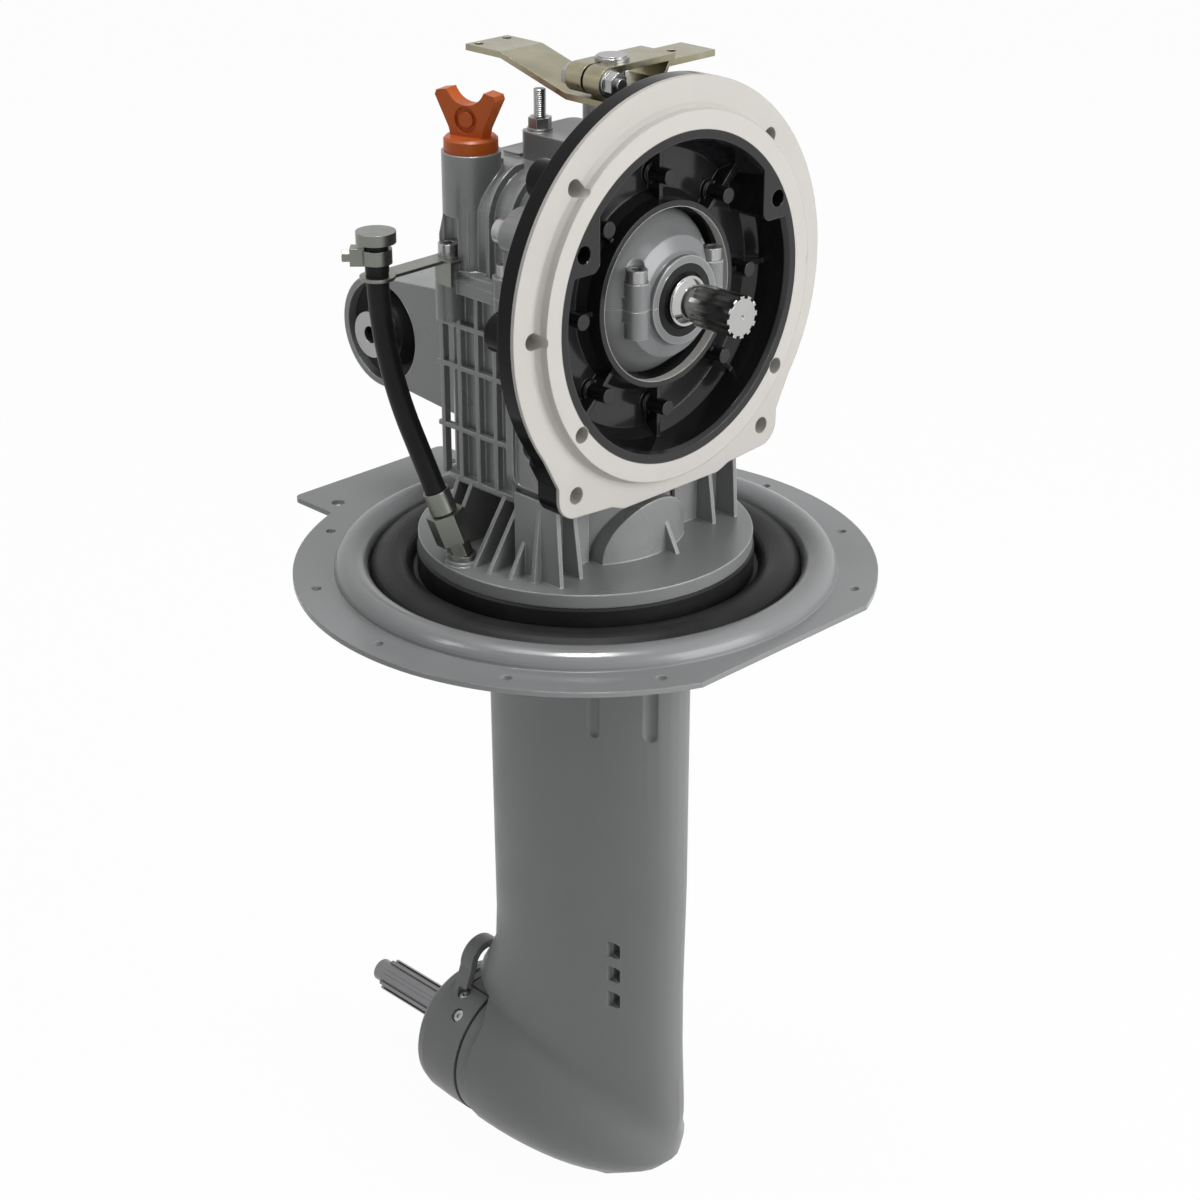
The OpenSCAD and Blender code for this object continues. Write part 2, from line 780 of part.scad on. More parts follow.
// Shift shaft with the helical cam groove that lifts and lowers the fork
cam_lead = clutch_travel / shift_angle;
cam_half = clutch_travel + cam_pin_r + 1.6;
shaft_head_z = tower_top + 25;
module shift_shaft() {
  step = 4;
  reach = shift_angle + 12;
  color(steel)
    translate([lever_x, 0, 0])
      difference() {
        union() {
          z_cyl(cam_r, fork_z - cam_half, fork_z + cam_half);
          z_cyl(shift_r, fork_z + cam_half, shaft_head_z);
          z_cyl(shift_r + 2.5, shaft_head_z, shaft_head_z + 2.2);
          z_cyl(shift_r + 1.2, shaft_head_z + 2.2, shaft_head_z + 3.2);
        }
        for (a = [-reach : step : reach])
          translate([0, 0, fork_z + a * cam_lead]) rotate([0, 0, 180 - a])
            rotate([0, 90, 0]) z_cyl(cam_pin_r + 0.15, cam_r - 4, cam_r + 1);
      }
}

// Input side

input_hub_x = 58;
module input_gear() {
  color(steel)
    translate([0, 0, zi]) rotate([0, 90, 0])
      difference() {
        union() {
          bevel_teeth(input_teeth, idler_teeth, upper_module, upper_face, 180 / input_teeth);
          prism(input_pr - 5, idler_pr, idler_pr + 4);
          prism(23, idler_pr + 4, input_hub_x);
        }
        linear_extrude(80) polygon(spline_points(15, 1.5, 10, 0.04));
      }
}

input_journal_r = 17.5;
input_bearing_w = 15;
input_seal_r = 15.7;
module input_shaft() {
  color(dark_steel)
    translate([0, 0, zi]) {
      rotate([0, 90, 0]) translate([0, 0, 34]) linear_extrude(input_hub_x - 34)
        polygon(spline_points(15, 1.5, 10));
      x_cyl(input_journal_r, input_hub_x, input_hub_x + input_bearing_w);
      x_cyl(input_seal_r, input_hub_x + input_bearing_w, seal_face + 3);
      translate([seal_face + 3, 0, 0]) rotate([0, 90, 0])
        cylinder(r1 = 14.2, r2 = input_spline_r - 2.1, h = 4);
      x_cyl(input_spline_r - 2.1, seal_face + 7, input_end - 1);
      difference() {
        rotate([0, 90, 0]) translate([0, 0, seal_face + 14]) linear_extrude(input_end - seal_face - 14)
          polygon(spline_points(input_spline_r, 1.7, 12));
        x_cyl(1.6, input_end - 5, input_end + 1);
      }
    }
}

module input_bearing() {
  color(steel)
    translate([input_hub_x, 0, zi]) rotate([0, 90, 0])
      ball_bearing(input_journal_r, 31, input_bearing_w, 12);
}

input_seal_out = 22.9;
module input_seal() {
  color(rubber_black)
    translate([seal_face - 8, 0, zi]) rotate([0, 90, 0]) lip_seal(input_seal_r, input_seal_out, 8);
}

// Gear housing and cover

body_r = 12;
flange_half_w = 74;
flange_t = 8;
nose_x = 62;
nose_bolt_x = bell_face + 0.2;
nose_bolt_y = 33;
cover_bolt_x = [-48, 5];
cover_bolt_y = 72;
neck_x = -45;
neck_y = -54;
bell_bolts_yz = [[85.2, 46.5], [72, -96]];
bell_bolt_seat = 25;
bell_bolt_l = 43;
rib_bottom = ledge_z;

// Front wall of the housing round the input shaft, both halves together
module nose() {
  translate([0, 0, zi]) rotate([0, 90, 0])
    rotate_extrude()
      polygon([
        [0, block_x1 - 5], [nose_r, block_x1 - 5], [nose_r, nose_x - 4], [nose_r - 3, nose_x],
        [38, nose_x + 15], [seal_boss_r + 2, nose_x + 19], [seal_boss_r, nose_x + 21],
        [seal_boss_r, seal_face], [0, seal_face]
      ]);
  for (s = [-1, 1])
    translate([nose_bolt_x, s * nose_bolt_y, 0]) {
      z_cyl(7.6, zi - 18, zi + 17);
      block([-14, -7.6, zi - 8], [0, 7.6, zi + 8]);
      block([-20, min(0, -s * 14), zi - 8], [4, max(0, -s * 14), zi + 8]);
    }
}

// Space for the upper gears, both halves together
module gear_space() {
  z_cyl(cavity_r, zi - web_z, zi + web_z);
  x_cyl(41, 0, input_hub_x, 0, zi);
  x_cyl(31 + run, input_hub_x - 1, input_hub_x + input_bearing_w, 0, zi);
  x_cyl(input_seal_r + 2, input_hub_x, seal_face + 1, 0, zi);
  x_cyl(input_seal_out + run, seal_face - 8, seal_face + 1, 0, zi);
}

// Split flange with its bolt bosses, between two levels
module split_flange(z0, z1) {
  block([-body_aft + 8, -flange_half_w, z0], [block_x0, flange_half_w, z1]);
  for (x = cover_bolt_x, s = [-1, 1]) z_cyl(9, z0, z1, x, s * cover_bolt_y);
}

module cover_bolt_holes(r, z0, z1) {
  for (x = cover_bolt_x, s = [-1, 1]) z_cyl(r, z0, z1, x, s * cover_bolt_y);
}

module nose_bolt_holes(r, z0, z1) {
  for (s = [-1, 1]) z_cyl(r, z0, z1, nose_bolt_x, s * nose_bolt_y);
}

// Grid of cast ribs on the sides of the housing
module side_grid() {
  x0 = -body_aft + 1;
  pitch = (block_x0 - 6 - x0 - rib_t) / (rib_count - 1);
  for (s = [-1, 1]) {
    y0 = min(s * body_half_w, s * (body_half_w + rib_h));
    for (i = [0 : rib_count - 1])
      block([x0 + i * pitch, y0, rib_bottom], [x0 + i * pitch + rib_t, y0 + rib_h, zi - flange_t]);
    for (z = [zi - 32, zi - 60, zi - 102])
      block([x0 - 3, y0, z], [block_x0 - 3, y0 + rib_h - 1, z + rib_t]);
  }
}

// Foot ribs from the housing down to the base plate: upright ones in front, leaning gussets beside
// the body, and radial ones behind it
foot_gusset_x = [-46, -33, -1.5, 12, 28];
foot_aft_angles = [150, 168, 192, 210];
module foot_ribs() {
  foot = base_r - 12;
  for (s = [-1, 1]) {
    for (x = foot_gusset_x)
      translate([x - rib_t / 2, 0, 0]) rotate([90, 0, 90]) linear_extrude(rib_t)
        polygon([
          [s * 40, base_top - 1], [s * sqrt(foot * foot - x * x), base_top - 1],
          [s * sqrt(foot * foot - x * x), base_top + 1], [s * (body_half_w + rib_h), ledge_z - 1],
          [s * (body_half_w + rib_h), ledge_z + 1], [s * 40, ledge_z + 1]
        ]);
    translate([42 - rib_t / 2, 0, 0]) rotate([90, 0, 90]) linear_extrude(rib_t)
      polygon([
        [s * 40, base_top - 1], [s * 88.4, base_top - 1], [s * 88.4, base_top + 1],
        [s * (block_half_w - 2), block_bottom + 1], [s * 40, block_bottom + 1]
      ]);
    for (f = [[62, 59, 52], [81, 61, 58]])
      translate([0, s * f[0] + rib_t / 2, 0]) rotate([90, 0, 0]) linear_extrude(rib_t)
        polygon([
          [20, base_top - 1], [f[1], base_top - 1], [f[1], base_top + 1], [f[2], block_bottom - 1],
          [block_x1 - 1, block_bottom + 2], [20, block_bottom + 2]
        ]);
  }
  for (a = foot_aft_angles)
    rotate(a) translate([0, rib_t / 2, 0]) rotate([90, 0, 0]) linear_extrude(rib_t)
      polygon([
        [40, base_top - 1], [foot + 4, base_top - 1], [foot + 4, base_top + 1],
        [body_aft - 1, ledge_z - 1], [40, ledge_z - 1]
      ]);
}

// Arched passage under the bell with its rib
arch_r = 38;
module arch() {
  intersection() {
    x_cyl(arch_r, 0, 80, 0, base_top);
    z_cyl(body_half_w, base_top - 1, base_top + arch_r + 1);
  }
  translate([0, 9 + rib_t / 2, 0]) rotate([90, 0, 0])
    linear_extrude(rib_t)
      polygon([[30, base_top], [76, base_top], [50, base_top + 48], [30, base_top + 48]]);
}

module main_housing() {
  color(cast_grey)
    difference() {
      union() {
        z_cyl(base_r, base_z, base_top);
        z_cyl(69, leg_top, base_z + 1);
        z_cyl(56, base_top - 1, ledge_z + 2);
        round_block([-body_aft, -body_half_w, ledge_z], [block_x1, body_half_w, zi], body_r);
        round_block([-body_aft, -body_half_w - rib_h, ledge_z - 3],
                    [block_x0 + 6, body_half_w + rib_h, ledge_z + 1], body_r);
        split_flange(zi - flange_t, zi);
        for (x = cover_bolt_x, s = [-1, 1]) z_cyl(9, zi - 26, zi, x, s * cover_bolt_y);
        intersection() {
          x_front_block();
          block([0, -200, 0], [200, 200, zi]);
        }
        intersection() {
          nose();
          block([0, -200, 0], [200, 200, zi]);
        }
        side_grid();
        foot_ribs();
        arch();
        z_cyl(11, base_top, base_top + 3, drain_x, drain_y);
      }
      gear_space();
      z_cyl(idler_seat_r + run, zi - web_z - bearing_w, zi);
      z_cyl(idler_hub_r + 6, zi - web_z - bearing_w - 6, zi);
      round_block([-body_aft + wall, -body_half_w + wall, ledge_z + 6],
                  [block_x1 - 12, body_half_w - wall, zi - web_z - bearing_w - 6], 8);
      z_cyl(46, base_top + bearing_w + 2, ledge_z + 7);
      z_cyl(29 + run, base_top + 2, base_top + bearing_w + 3);
      z_cyl(shaft_r + 8, leg_top - 1, base_top + 3);
      cover_bolt_holes(4 + run, zi - 20, zi + 1);
      nose_bolt_holes(4 + run, zi - 16, zi + 1);
      z_cyl(4, zi - web_z - bearing_w - 8, zi + 1, neck_x, neck_y);
      z_cyl(5 + run, base_top - 2, base_top + 4, drain_x, drain_y);
      for (i = [0 : leg_bolt_count - 1]) rotate(30 + i * 360 / leg_bolt_count)
        z_cyl(5 + run, leg_top - 1, base_top - 2, leg_bolt_r);
      bell_bolt_ways();
      bracket_bolt_holes(4 + run, -body_aft - 1, -body_aft + 5);
    }
}

// Front block that the bell bolts to, both halves together
block_bottom = ledge_z + 10;
block_top = zi + 58;
module x_front_block() {
  difference() {
    translate([block_x0, 0, 0]) rotate([90, 0, 90]) linear_extrude(block_x1 - block_x0)
      round_rect([-block_half_w, block_bottom], [block_half_w, block_top], 14);
    for (s = [-1, 1]) translate([0, s * block_half_w, 0]) {
      translate([0, 2.5, 0]) rotate([90, 0, 0]) linear_extrude(5)
        round_rect([block_x0 + 6, block_bottom + 7], [block_x1 + 12, zi - 16], 6);
      y_cyl(7, -9, 9, 34, 110);
    }
  }
  for (s = [-1, 1]) {
    x_cyl(12, bell_bolt_seat, block_x1, s * bell_bolts_yz[0][0], zi + bell_bolts_yz[0][1]);
    block([bell_bolt_seat, s > 0 ? 60 : -84, zi + 35], [block_x1, s > 0 ? 84 : -60, block_top - 0.5]);
  }
}

module bell_bolt_holes(r, x0, x1) {
  for (s = [-1, 1], p = bell_bolts_yz) x_cyl(r, x0, x1, s * p[0], zi + p[1]);
}

// Holes for the bell's bolts in the housing, with room for their heads behind them
module bell_bolt_ways() {
  bell_bolt_holes(5 + loose, bell_bolt_seat - 1, block_x1 + 1);
  bell_bolt_holes(9, block_x0 - 6, bell_bolt_seat);
}

// Cross-section of the cover: upright sides, round shoulders and a flat top
shoulder_r = 30;
function cover_outline(grow) =
  let (w = body_half_w - 2 + grow, t = cover_top - zi + grow, r = shoulder_r + grow)
    concat(
      [[-w, 0], [-w, t - 1.5 * r]],
      [for (a = [170 : -10 : 90]) [-w + r + r * cos(a), t - r + r * sin(a)]],
      [for (a = [90 : -10 : 10]) [w - r + r * cos(a), t - r + r * sin(a)]],
      [[w, t - 1.5 * r], [w, 0]]
    );

module cover_slice(x0, x1, grow) {
  translate([x0, 0, zi]) rotate([90, 0, 90]) linear_extrude(x1 - x0) polygon(cover_outline(grow));
}

box_x0 = -34;
box_x1 = 42;
box_half_w = 24;
stud_x = -24;
stud_y = -15;
neck_top = zi + 79;
module top_cover() {
  fin_pitch = 19;
  color(cast_grey)
    difference() {
      union() {
        cover_slice(-body_aft, block_x1 - 2, 0);
        for (i = [0 : fin_count - 1])
          intersection() {
            cover_slice(-36 + i * fin_pitch, -36 + i * fin_pitch + rib_t, rib_h);
            union() {
              block([-80, -90, zi], [80, -box_half_w - 14, cover_top + 3]);
              block([-80, box_half_w + 14, zi], [80, 90, cover_top + 3]);
            }
          }
        split_flange(zi, zi + flange_t - 2);
        for (x = cover_bolt_x, s = [-1, 1]) z_cyl(9, zi, zi + 13, x, s * cover_bolt_y);
        intersection() {
          union() {
            x_front_block();
            nose();
          }
          block([0, -200, zi], [200, 200, zi + 100]);
        }
        block([-50, -22, cover_top - 1], [-36, 22, cover_top + 2]);
        round_block([box_x0, -box_half_w, cover_top - 1], [box_x1, box_half_w, box_top], 6);
        z_cyl(8, cover_top, box_top + 2, stud_x, stud_y);
        z_cyl(18, box_top - 1, tower_top, lever_x);
        z_cyl(neck_r, zi + 1, neck_top, neck_x, neck_y);
        for (a = [180, 225, 270]) translate([neck_x, neck_y, zi]) rotate(a)
          translate([0, rib_t / 2, 0]) rotate([90, 0, 0]) linear_extrude(rib_t)
            polygon([[0, 0], [neck_r + 2.5, 0], [neck_r + 2.5, 26], [neck_r - 1, 42], [0, 42]]);
      }
      gear_space();
      z_cyl(idler_seat_r + run, zi + 1, zi + web_z + bearing_w);
      z_cyl(idler_hub_r + 6, zi + 1, zi + web_z + bearing_w + 2);
      round_block([box_x0 + 5, -box_half_w + 5, zi + web_z + bearing_w + 2],
                  [box_x1 - 4, box_half_w - 5, box_top - 4], 3);
      z_cyl(shift_r + run, box_top - 5, tower_top + 1, lever_x);
      z_cyl(guide_r + run, box_top - 5, box_top - 2, guide_x);
      z_cyl(12, neck_top - 18, neck_top + 1, neck_x, neck_y);
      z_cyl(4, zi - 1, neck_top, neck_x, neck_y);
      cover_bolt_holes(4 + loose, zi - 1, zi + 14);
      for (s = [-1, 1]) z_cyl(7.5, zi + 13, zi + 40, cover_bolt_x[1], s * cover_bolt_y);
      for (s = [-1, 1]) z_cyl(8.5, zi + 13, zi + 40, cover_bolt_x[0], s * cover_bolt_y);
      nose_bolt_holes(4 + loose, zi - 1, zi + 18);
      nose_bolt_holes(7, zi + 17, zi + 40);
      z_cyl(4 + run, box_top - 3, box_top + 3, stud_x, stud_y);
      bell_bolt_ways();
    }
}

// The cover bolt at the hose bracket sits on the bracket and is made with it
module cover_bolts() {
  color(steel)
    for (x = cover_bolt_x, s = [-1, 1])
      if (x > 0 || s > 0)
        translate([x, s * cover_bolt_y, zi + 13]) socket_screw(4, 30);
}

module nose_bolts() {
  color(steel)
    for (s = [-1, 1])
      translate([nose_bolt_x, s * nose_bolt_y, zi + 17]) socket_screw(4, 30);
}

// Bell housing

ear_y = 84.5;
ear_z = -107.2;
ear_r = 14.5;
ear_hole_r = 5.5;
module flange_outline() {
  difference() {
    circle(bell_r);
    translate([-bell_r, -bell_r - 128]) square([2 * bell_r, bell_r]);
  }
  polygon([
    [-ear_y - ear_r, ear_z], [-ear_y - ear_r, ear_z + 8], [-110.5, -77.5], [0, -60], [110.5, -77.5],
    [ear_y + ear_r, ear_z + 8], [ear_y + ear_r, ear_z], [ear_y, ear_z - ear_r], [0, -128],
    [-ear_y, ear_z - ear_r]
  ]);
  for (s = [-1, 1]) translate([s * ear_y, ear_z]) circle(ear_r);
}

// The web's front face and the bell's back, as distances in front of the drive axis
web_front = 56;
bell_ribs = 8;
web_boss_pitch = 74;
web_boss_h = 18;
ear_t = 18.5;
flange_holes = [[bell_hole_pitch, 0], bell_hole_pitch * [cos(45), sin(45)], [87.4, -64.7]];
module bell_housing() {
  back = bell_face - bell_flange_t;
  color(gloss_black)
    difference() {
      union() {
        translate([back, 0, zi]) rotate([90, 0, 90]) linear_extrude(bell_flange_t)
          difference() {
            flange_outline();
            circle(pilot_bore_r - 1);
          }
        translate([0, 0, zi]) rotate([0, 90, 0])
          rotate_extrude()
            polygon([
              [bell_r - 12, back + 1], [bell_r - 12, bell_face - 1], [pilot_r + 2.5, bell_face],
              [pilot_r, bell_face + 3], [pilot_r, bell_face + pilot_h],
              [pilot_bore_r - 6, bell_face + pilot_h], [pilot_bore_r - 8, bell_face + pilot_h - 3],
              [pilot_bore_r - 10, web_front + 7], [pilot_bore_r - 16, web_front],
              [window_r + 9, web_front], [window_r + 5, web_front + 6],
              [window_r + 4, 72.3], [window_r, 72.3], [window_r, web_front - 6], [window_r + 8, block_x1],
              [window_r + 16, block_x1], [window_r + 18, web_front - 7], [pilot_bore_r - 2, web_front - 7],
              [pilot_bore_r + 6, back + 1]
            ]);
        for (i = [0 : bell_ribs - 1])
          translate([0, 0, zi]) rotate([i * 360 / bell_ribs, 0, 0]) {
            block([web_front - 1, -rib_t / 2, window_r + 4], [web_front + 10, rib_t / 2, pilot_bore_r - 8]);
            x_cyl(5, web_front - 1, web_front + web_boss_h, 0, web_boss_pitch);
            x_cyl(7, web_front - 1, web_front + 3, 0, web_boss_pitch);
          }
        for (s = [-1, 1]) {
          for (p = bell_bolts_yz) x_cyl(12, block_x1, back + 1, s * p[0], zi + p[1]);
          for (p = flange_holes) x_cyl(12.5, block_x1 + 5, back + 1, s * p[0], zi + p[1]);
          bell_pad(s);
          bell_ear(s);
        }
      }
      for (s = [-1, 1]) {
        for (p = flange_holes) bell_hole(bell_hole_r, s * p[0], p[1]);
        bell_hole(ear_hole_r, s * ear_y, ear_z);
        x_cyl(5.5, 70, bell_face + 20, s * bell_bolts_yz[0][0], zi + bell_bolts_yz[0][1]);
      }
      bell_bolt_holes(5 + run, block_x1 - 1, bell_bolt_seat + bell_bolt_l + 2);
    }
}

// Pad in the bowl, flush with the pilot, that takes a bolt from behind
module bell_pad(s) {
  intersection() {
    x_cyl(pilot_bore_r, web_front - 6, bell_face + pilot_h, 0, zi);
    translate([web_front - 6, 0, zi]) rotate([90, 0, 90]) linear_extrude(60)
      mirror([s > 0 ? 0 : 1, 0]) round_rect([72, 33.5], [120, 90], 6);
  }
}

// Thick lower corner of the flange
module bell_ear(s) {
  translate([bell_face - ear_t, 0, zi]) rotate([90, 0, 90]) linear_extrude(ear_t - 2)
    intersection() {
      flange_outline();
      mirror([s > 0 ? 0 : 1, 0]) translate([66, -124]) square([40, 42]);
    }
}

module bell_hole(r, y, z) {
  x_cyl(r, block_x1 + 4, bell_face + pilot_h + 1, y, zi + z);
}

module bell_bolts() {
  color(steel)
    for (s = [-1, 1], p = bell_bolts_yz)
      translate([bell_bolt_seat, s * p[0], zi + p[1]]) rotate([0, -90, 0]) socket_screw(5, bell_bolt_l);
}

module leg_bolts() {
  color(steel)
    for (i = [0 : leg_bolt_count - 1]) rotate(30 + i * 360 / leg_bolt_count)
      translate([leg_bolt_r, 0, leg_top - leg_flange_t]) rotate([180, 0, 0])
        socket_screw(5, leg_flange_t + base_top - leg_top - 4);
}

// Hull ring and rubber diaphragm

// Rounded profile of the raised bead, as pairs of radius and height
function bead_profile(inset) =
  let (c = (bead_in + bead_out) / 2, half = (bead_out - bead_in) / 2 - inset, h = bead_h - inset)
    [for (a = [180 : -12 : 0]) [c + half * cos(a), h * sin(a)]];

tab_hole = [31.5 - tab_reach, tab_half_w - 15];
module hull_ring() {
  color(ring_grey)
    difference() {
      union() {
        translate([0, 0, -ring_t])
          linear_extrude(ring_t)
            difference() {
              union() {
                circle(ring_r);
                round_rect([-tab_reach, -tab_half_w], [-120, tab_half_w], 6);
              }
              translate([ring_cut, -ring_r]) square([60, 2 * ring_r]);
              circle(bead_out - ring_t + 0.5);
            }
        rotate_extrude()
          polygon(concat(
            [[bead_in, -1]], bead_profile(0),
            [[bead_out + 1, 0], [bead_out + 1, -ring_t], [bead_out - ring_t, -ring_t]],
            [for (i = [15 : -1 : 0]) bead_profile(ring_t)[i]], [[bead_in + ring_t, -1]]
          ));
      }
      for (a = [30 : 30 : 150], s = [-1, 1]) rotate(s * a) z_cyl(ring_hole_r, -ring_t - 1, 1, ring_pitch);
      for (s = [-1, 1]) z_cyl(ring_hole_r * 1.4, -ring_t - 1, 1, tab_hole[0], s * tab_hole[1]);
    }
}

// Diaphragm: its inner rim is clamped by the leg, its outer rim sits in the ring's bead
rubber_t = 4;
crest_h = 11.3;
module diaphragm() {
  riser = base_r + 1;
  low = -1.8;
  fold_in = riser + 3;
  mid = (fold_in + bead_in - 0.6) / 2;
  half = (bead_in - 0.6 - fold_in) / 2;
  rim = bead_profile(ring_t + soft_gap);
  color(rubber_black)
    difference() {
      rotate_extrude()
        polygon(concat(
          [[70, leg_top], [70, base_z], [riser - 1.5, base_z], [riser, base_z - 2], [riser, low]],
          [for (a = [180 : -12 : 0]) [mid + half * cos(a), low + crest_h * sin(a)]],
          [[rim[0][0], low]], rim, [[rim[15][0], low - rubber_t]],
          [for (a = [0 : 12 : 180]) [mid + (half - rubber_t) * cos(a), low - rubber_t + crest_h * sin(a)]],
          [[riser - rubber_t, low - rubber_t], [riser - rubber_t, leg_top]]
        ));
      for (i = [0 : leg_bolt_count - 1]) rotate(30 + i * 360 / leg_bolt_count)
        z_cyl(5 + loose, leg_top - 1, base_z + 1, leg_bolt_r);
    }
}

// Rear mount

bracket_bolt_yz = [[36, 95], [36, 165]];
bracket_t = 8;
module bracket_bolt_holes(r, x0, x1) {
  for (s = [-1, 1], p = bracket_bolt_yz) x_cyl(r, x0, x1, s * p[0], p[1]);
}

module mount_bracket() {
  mx = -mount_x;
  back = -body_aft;
  web = [
    [mx, mount_h + mount_ring_r - 2], [back - bracket_t + 1, mount_h + mount_ring_r + 8],
    [back - bracket_t + 1, 82], [mx - 14, mount_h - mount_ring_r + 7]
  ];
  color(cast_grey)
    difference() {
      union() {
        y_cyl(mount_ring_r, -mount_half_w, mount_half_w, mx, mount_h);
        for (y = [-mount_half_w, -3, mount_half_w - 6])
          translate([0, y + 6, 0]) rotate([90, 0, 0]) linear_extrude(6) polygon(web);
        translate([0, mount_half_w, 0]) rotate([90, 0, 0]) linear_extrude(2 * mount_half_w)
          polygon([
            [mx, mount_h + mount_ring_r - 6], [mx, mount_h + mount_ring_r - 1],
            [back - bracket_t + 1, mount_h + mount_ring_r + 8],
            [back - bracket_t + 1, mount_h + mount_ring_r + 3]
          ]);
        translate([back - bracket_t, 0, 0]) rotate([90, 0, 90]) linear_extrude(bracket_t)
          round_rect([-48, 80], [48, 180], 8);
      }
      y_cyl(mount_eye_r, -mount_half_w - 1, mount_half_w + 1, mx, mount_h);
      bracket_bolt_holes(4 + loose, back - bracket_t - 1, back + 1);
    }
}

module bracket_bolts() {
  color(steel)
    for (s = [-1, 1], p = bracket_bolt_yz)
      translate([-body_aft - bracket_t, s * p[0], p[1]]) rotate([0, -90, 0]) {
        hex(13, 0, 5.5);
        z_cyl(4, -bracket_t - 4, 0);
      }
}

module mount_rubber() {
  color(rubber_black)
    translate([-mount_x, 0, mount_h]) rotate([90, 0, 0])
      rotate_extrude()
        polygon([
          [sleeve_r + run, -25], [sleeve_r + 4, -25], [mount_eye_r - 9, -15], [mount_eye_r - run, -20],
          [mount_eye_r - run, 20], [mount_eye_r - 9, 15], [sleeve_r + 4, 25], [sleeve_r + run, 25]
        ]);
}

module mount_sleeve() {
  color(steel)
    difference() {
      y_cyl(sleeve_r, -sleeve_half_l, sleeve_half_l, -mount_x, mount_h);
      y_cyl(sleeve_bore_r, -sleeve_half_l - 1, sleeve_half_l + 1, -mount_x, mount_h);
    }
}

// Dipstick

cap_r = 17;
cap_collar_h = 9;
module dipstick_cap() {
  z0 = neck_top;
  color(orange_plastic)
    translate([neck_x, neck_y, 0])
      difference() {
        union() {
          z_cyl(cap_r, z0, z0 + cap_collar_h - 1.5);
          translate([0, 0, z0 + cap_collar_h - 1.5]) cylinder(r1 = cap_r, r2 = cap_r - 1.5, h = 1.5);
          z_cyl(11.2, z0 - 16, z0);
          rotate([90, 0, 15]) translate([0, 0, -5.5]) linear_extrude(11)
            difference() {
              polygon([
                [-11, z0 + cap_collar_h - 1], [-12.5, z0 + 14], [-22, z0 + 33], [-21, z0 + 36],
                [-13, z0 + 37.5], [13, z0 + 37.5], [21, z0 + 36], [22, z0 + 33], [12.5, z0 + 14],
                [11, z0 + cap_collar_h - 1]
              ]);
              translate([0, z0 + 43]) circle(14.5);
            }
        }
        rotate([90, 0, 15]) for (s = [-1, 1])
          translate([0, z0 + 19.5, s * 5.5]) difference() {
            cylinder(r = 8.2, h = 4, center = true);
            cylinder(r = 5, h = 5, center = true);
          }
        translate([0, 0, z0 - 8]) rotate_extrude() translate([11.4, 0]) circle(1.5);
        z_cyl(2.5 + run, z0 - 17, z0 - 6);
      }
}

module dipstick_rod() {
  color(steel) translate([neck_x, neck_y, 0])
    difference() {
      z_cyl(2.5, neck_top - 16 - dip_len, neck_top - 6);
      for (z = [6, 22]) translate([0, 0, neck_top - 16 - dip_len + z]) block([-3, 1.4, 0], [3, 3, 2]);
    }
}

module dipstick_seal() {
  color(rubber_black) translate([neck_x, neck_y, neck_top - 8])
    rotate_extrude() translate([11.2, 0]) circle(0.75);
}

// Stud and nut on the cover

module top_stud() {
  color(steel) z_cyl(4, box_top - 3, box_top + 26, stud_x, stud_y);
}

module top_nut() {
  color(steel) translate([stud_x, stud_y, box_top + 2])
    difference() {
      hex(13, 0, 6.5);
      z_cyl(4 + run, -1, 8);
    }
}

// Shift lever

lever_z = tower_top + 4;
leaf_low = tower_top + 11;
leaf_high = shaft_head_z;
eye_y = -17;
eye_out = (leaf_high - leaf_low + plate_t) / 2;
eye_mid = leaf_high - eye_out;
end_z = tower_top + 20;
side_end_z = end_z + 1.5;

// Bent strip along X, drawn as its side profile
module strip(points, w) {
  n = len(points) - 1;
  rotate([90, 0, 0]) translate([0, 0, -w / 2]) linear_extrude(w)
    polygon(concat(points, [for (i = [n : -1 : 0]) points[i] - [0, plate_t]]));
}

module lever_arm() {
  color(zinc)
    difference() {
      union() {
        translate([lever_x, 0, 0])
          strip([[15, lever_z], [-22, lever_z], [-80, end_z], [-arm_len, end_z]], arm_w);
        z_cyl(15, lever_z - plate_t, lever_z, lever_x);
        block([lever_x - 12, -6, lever_z - 1], [lever_x + 12, 20, leaf_low - plate_t]);
      }
      z_cyl(shift_r + run, 0, lever_z + 20, lever_x);
      for (y = [-12, 12]) z_cyl(lever_hole_r, 0, 500, lever_x - arm_len + 6, y);
    }
}

module lever_clamp() {
  color(zinc)
    difference() {
      union() {
        translate([lever_x, 0, 0]) rotate([0, 0, 90])
          strip([[eye_y, leaf_low], [29, leaf_low], [35, side_end_z], [side_len, side_end_z]], side_w);
        block([lever_x - side_w / 2, eye_y, leaf_high - plate_t], [lever_x + side_w / 2, 40, leaf_high]);
        x_cyl(eye_out, lever_x - side_w / 2, lever_x + side_w / 2, eye_y, eye_mid);
      }
      z_cyl(shift_r + run, 0, 500, lever_x);
      x_cyl(4 + loose, 0, 100, eye_y, eye_mid);
      block([lever_x - 1, -60, leaf_low - plate_t - 2], [lever_x + 1, 0, leaf_high + 2]);
      z_cyl(lever_hole_r, 0, 500, lever_x - 2, side_len - 22);
    }
}

module clamp_bolt() {
  x0 = lever_x - side_w / 2;
  color(steel) translate([x0, eye_y, eye_mid]) rotate([0, 90, 0]) {
    hex(13, -5.5, 0);
    z_cyl(4, 0, side_w + 11);
  }
}

module clamp_nut() {
  x0 = lever_x + side_w / 2;
  color(steel) translate([x0, eye_y, eye_mid]) rotate([0, 90, 0])
    difference() {
      union() {
        z_cyl(8, 0, 1.6);
        hex(13, 1.6, 8.1);
      }
      z_cyl(4 + run, -1, 9);
    }
}

// Oil hose and its fittings

